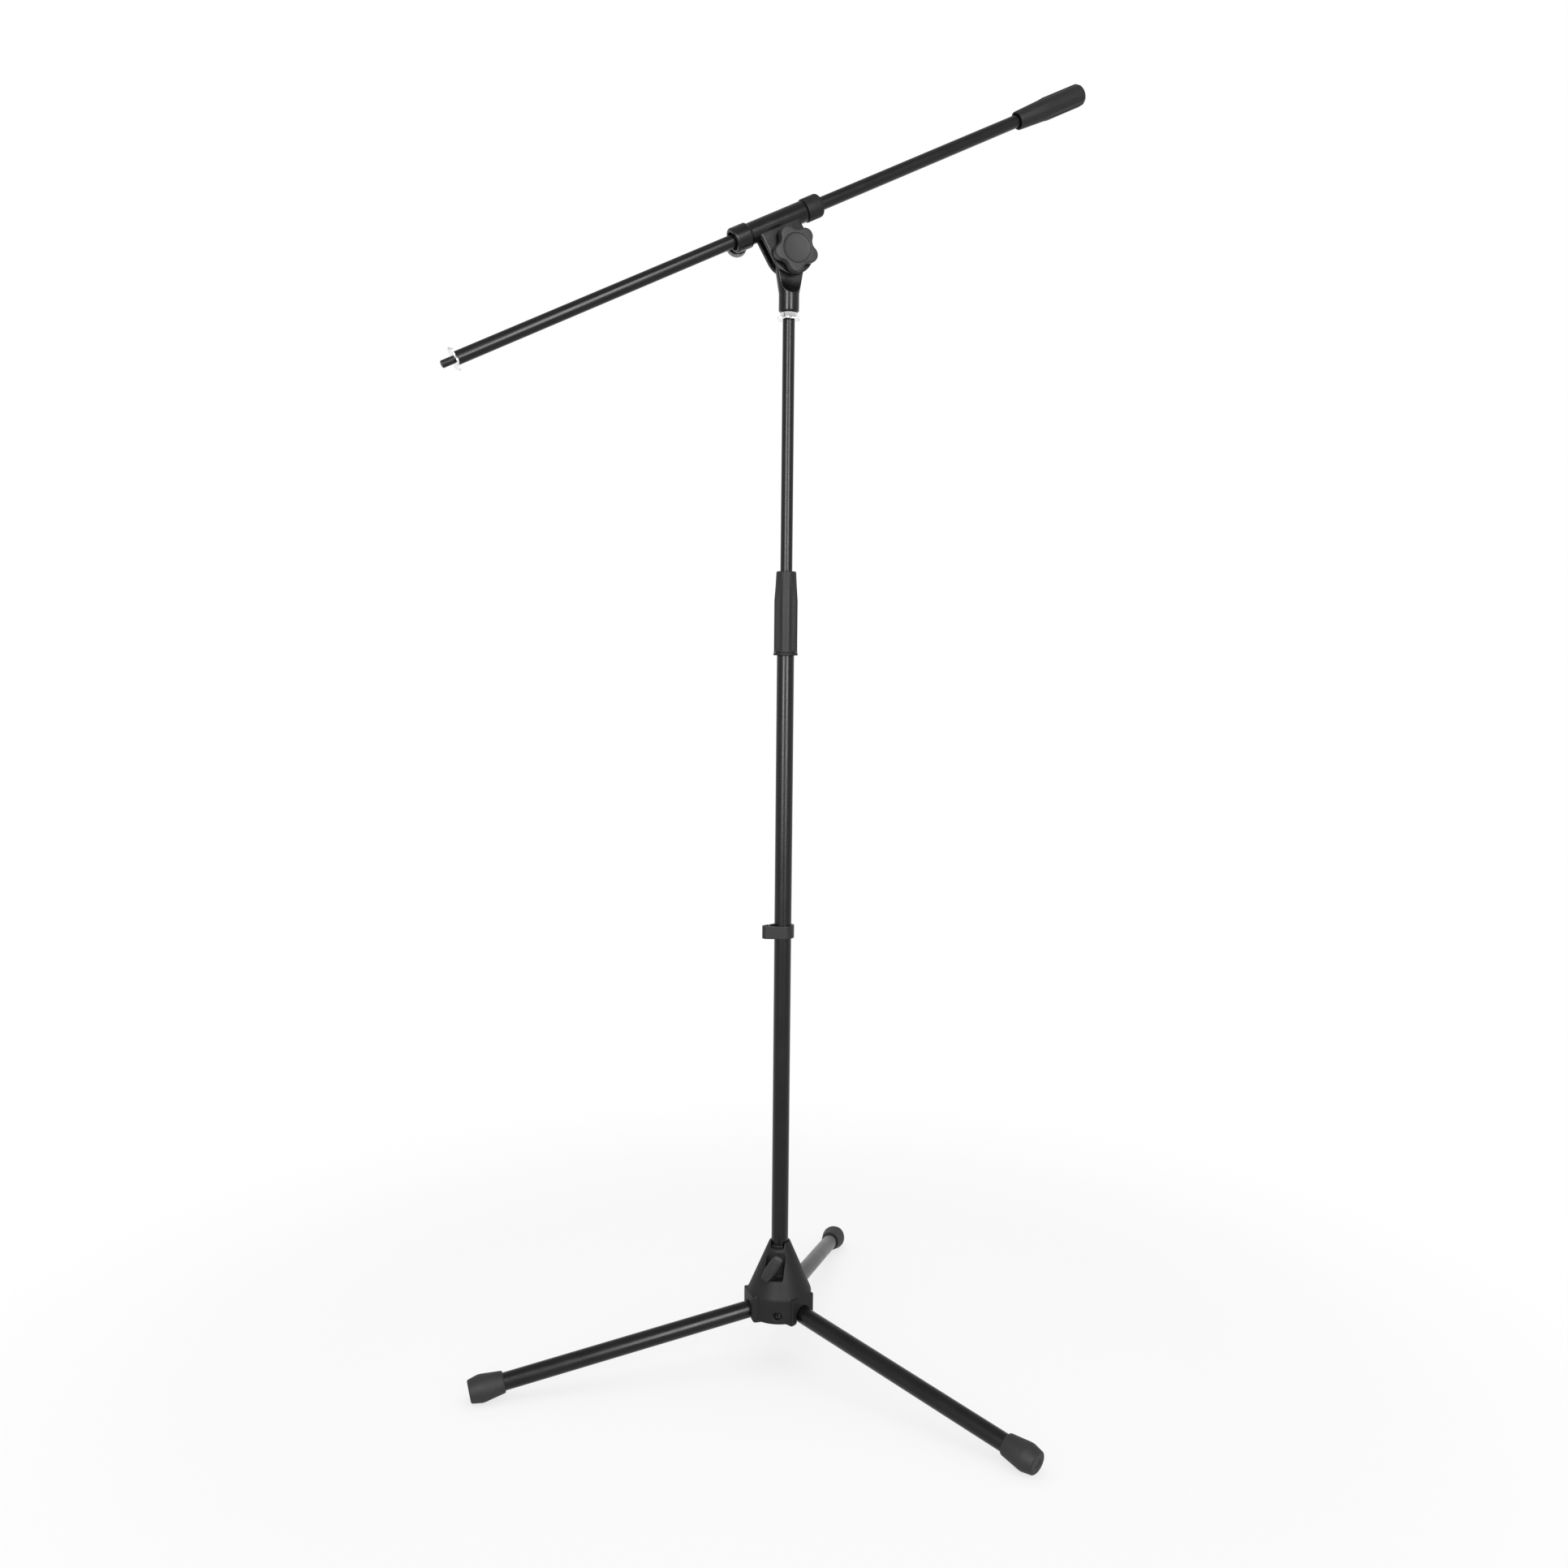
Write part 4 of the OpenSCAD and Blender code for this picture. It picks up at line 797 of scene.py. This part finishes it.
# %% Pivot bolts
ring, given = group("bolt_ring", {
    "Count": "NodeSocketInt", **{label: "NodeSocketFloat" for label in ("Radius", "Height", "First")},
    "Material": "NodeSocketMaterial"})
corners = ring.node("GeometryNodeMeshCircle", None, {"Vertices": given["Count"], "Radius": given["Radius"]})
lift = ring.node("ShaderNodeCombineXYZ", None, [0.0, 0.0, given["Height"]])
first = ring.node("ShaderNodeCombineXYZ", None, [0.0, 0.0, given["First"]])
corners = ring.node("GeometryNodeTransform", None, {
    "Geometry": corners, "Translation": lift, "Rotation": first})
spot = ring.node("GeometryNodeInputPosition")
px, py = [ring.node("ShaderNodeSeparateXYZ", None, [spot], output=k) for k in range(2)]
facing = ring.node("ShaderNodeCombineXYZ", None, [0.0, 0.0, py.math("ARCTAN2", px)])
bolts = ring.node("GeometryNodeInstanceOnPoints", None, {
    "Points": corners, "Instance": given["Geometry"], "Rotation": facing})
close(ring, bolts, given["Material"])

SKIRT_R, HEAD_T, HEAD_SINK, FLATS = 42.0, 4.0, 2.0, 8.0
HEAD_Y = -math.sqrt(SKIRT_R ** 2 - PIVOT_R ** 2) + (HEAD_SINK + HEAD_T)
SHANK_R, SHANK_END, SHANK_START = 2.5, 23.0, -27.0
shank, bolt_faces = spun(softened([
    (0, SHANK_END), (SHANK_R, SHANK_END), (SHANK_R, SHANK_START), (2.7, SHANK_START)], 0.4), 32)
bolt = [Vector((p[0], p[2], p[1])) for p in shank]


def hex_ring(flats, y, corner=99.0):
    """A hexagon of that width over its flats, with its corners turned off at a radius."""
    ring_points = []
    for k in range(48):
        a = math.tau * k / 48
        r = min(flats / 2 / math.cos(a % (math.pi / 3) - math.pi / 6), corner)
        ring_points.append(Vector((r * math.cos(a), y, r * math.sin(a))))
    return ring_points


hex_points, hex_faces = stacked([
    hex_ring(FLATS - 0.4, HEAD_Y), hex_ring(FLATS, HEAD_Y - 0.3), hex_ring(FLATS, HEAD_Y - 3.0),
    hex_ring(FLATS, HEAD_Y - 3.5, 4.3), hex_ring(FLATS, HEAD_Y - HEAD_T, 3.8),
    hex_ring(FLATS, HEAD_Y - HEAD_T, 2.9), hex_ring(FLATS, HEAD_Y - 3.7, 2.6)])
bolt_faces += [[k + len(bolt) for k in face] for face in hex_faces]
bolt += hex_points
tilted = turn(LEG_SLOPE, "Y")
mesh = mesh_of("hinge_bolts", bolt, bolt_faces, tilted)
made = grown("hinge_bolts", mesh, ring, {
    "Count": 3, "Radius": PIVOT_R, "Height": PIVOT_Z, "First": math.radians(LEG_ANGLES["rear"]),
    "Material": FINISH["dark_steel"]})
made.transform(SMALL)
dress("hinge_bolts", made, ["leg_pivot_bolts"], 30.0)

# %% [markdown]
# Castings and mouldings kept from the solids
#
# The base, the head and the clip already have their shape in the solids, but with knife edges. A real
# moulding has a radius on every edge. A copy with its triangles joined is remeshed in small even
# voxels and then smoothed a little, which rolls each edge over and leaves the faces where they were.


# %% Rounded copies of solids
def rounded_copy(node, name, voxel, passes):
    """A copy of a solid with its edges rolled over; voxel is in millimetres."""
    mesh = NODES[node].data.copy()
    joined = bmesh.new()
    joined.from_mesh(mesh)
    bmesh.ops.remove_doubles(joined, verts=joined.verts, dist=2e-7)
    joined.to_mesh(mesh)
    joined.free()
    holder = bpy.data.objects.new(name, mesh)
    bpy.context.scene.collection.objects.link(holder)
    remesh = holder.modifiers.new("remesh", "REMESH")
    remesh.mode = "VOXEL"
    remesh.voxel_size = voxel * MM
    smooth = holder.modifiers.new("smooth", "SMOOTH")
    smooth.factor = 0.5
    smooth.iterations = passes
    made = evaluated(holder)
    bpy.data.objects.remove(holder)
    return dress(name, made, [node], 80.0)


rounded_copy("base_housing", "tripod_base", 0.79, 5)
rounded_copy("mast_clamp_shoe", "clamp_shoe", 0.4, 3)
rounded_copy("swivel_head", "swivel_casting", 0.5, 4)
rounded_copy("boom_holder", "boom_sleeve_casting", 0.7, 4)
rounded_copy("cable_clip", "cable_clip_loop", 0.45, 3)

# %% [markdown]
# Floor and light
#
# The photograph is a product shot: white all round, with a faint shadow at the feet. The floor is
# pale. The world is white for the camera, white low down and greyer overhead for reflections, and
# gentler where it lights the stand. Two tall soft boxes beyond the camera, one to each side, give the
# paired streaks on the mast. One overhead and one in front fill the shadows and show in no reflection.

# %% Stage
FLOOR_WHITE, FILL, CEILING = 0.72, 0.60, 0.62
FLOOR_HALF = 14.0
STRIP_WIDE, STRIP_TALL, STRIP_POWER, STRIP_Z = 0.8, 2.1, 105, 1.72
floor_mesh = bpy.data.meshes.new("floor")
floor_corners = [(x * FLOOR_HALF, y * FLOOR_HALF, 0.0) for x, y in ((-1, -1), (1, -1), (1, 1), (-1, 1))]
floor_mesh.from_pydata(floor_corners, [], [(0, 1, 2, 3)])
floor = bpy.data.objects.new("floor", floor_mesh)
bpy.context.scene.collection.objects.link(floor)
pale = bpy.data.materials.new("pale_floor")
pale.use_nodes = True
pale_tree = Tree(pale.node_tree)
pale_shader = pale.node_tree.nodes["Principled BSDF"]
pale_shader.inputs["Roughness"].default_value = 0.9
pale_shader.inputs["Specular IOR Level"].default_value = 0.1
pale_shader.inputs["Base Color"].default_value = (0.93, 0.93, 0.93, 1.0)
floor_mesh.materials.append(pale)
spread = pale_tree.node("ShaderNodeVectorMath", {"operation": "LENGTH"}, [
    pale_tree.node("ShaderNodeTexCoord", output="Object")], output=1)
far_off = pale_tree.node("ShaderNodeMapRange", {"interpolation_type": "SMOOTHSTEP"}, [
    spread, 0.55, 1.25, FLOOR_WHITE, 1.0])
pale_rays = [pale_tree.node("ShaderNodeLightPath", output=name)
             for name in ("Is Camera Ray", "Is Glossy Ray", "Is Transmission Ray")]
pale_seen = pale_rays[0].math("MAXIMUM", pale_rays[1]).math("MAXIMUM", pale_rays[2])
white = pale_tree.node("ShaderNodeEmission", None, {"Color": (1.0, 1.0, 1.0, 1.0), "Strength": 1.0})
faded = pale_tree.node("ShaderNodeMixShader", None, [
    far_off * pale_seen, Wire(pale_tree, pale_shader.outputs["BSDF"]), white])
pale.node_tree.links.new(faded.socket, pale.node_tree.nodes["Material Output"].inputs["Surface"])

world = bpy.data.worlds.new("studio")
bpy.context.scene.world = world
world.use_nodes = True
sky = Tree(world.node_tree)
camera_ray, glossy_ray, clear_ray = [
    sky.node("ShaderNodeLightPath", output=name)
    for name in ("Is Camera Ray", "Is Glossy Ray", "Is Transmission Ray")]
mirrored = glossy_ray.math("MAXIMUM", clear_ray)
towards = sky.node("ShaderNodeTexCoord", output="Generated")
height = sky.node("ShaderNodeSeparateXYZ", None, [towards], output=2)
backdrop = sky.node("ShaderNodeMapRange", {"interpolation_type": "SMOOTHSTEP"}, [
    height, 0.25, 0.8, 1.0, CEILING])
background = world.node_tree.nodes["Background"]
background.inputs["Color"].default_value = (1.0, 1.0, 1.0, 1.0)
strength = camera_ray * (1.0 - FILL) + mirrored * (backdrop - FILL) + FILL
world.node_tree.links.new(strength.socket, background.inputs["Strength"])


def soft_box(name, place, target, wide, tall, power):
    lamp = bpy.data.lights.new(name, "AREA")
    lamp.shape, lamp.size, lamp.size_y, lamp.energy = "RECTANGLE", wide, tall, power
    holder = bpy.data.objects.new(name, lamp)
    holder.location = place
    holder.rotation_mode = "QUATERNION"
    holder.rotation_quaternion = (Vector(target) - Vector(place)).to_track_quat("-Z", "Y")
    bpy.context.scene.collection.objects.link(holder)
    return holder


for name, x, y in (("strip_left", -1.95, -2.05), ("strip_right", 0.20, -2.87)):
    strip_lamp = soft_box(name, (x, y, STRIP_Z), (0, 0, STRIP_Z), STRIP_WIDE, STRIP_TALL, STRIP_POWER)
    strip_lamp.visible_diffuse = False
soft_box("overhead", (-0.1, 0.0, 3.2), (0, 0, 0), 3.2, 3.2, 24).visible_glossy = False
soft_box("front", (-0.9, -2.6, 1.5), (0, 0, 0.6), 1.6, 1.6, 26).visible_glossy = False
view = bpy.context.scene.view_settings
view.view_transform = "Standard"
print("lit")

# %% Last update of the scene
bpy.context.view_layer.update()
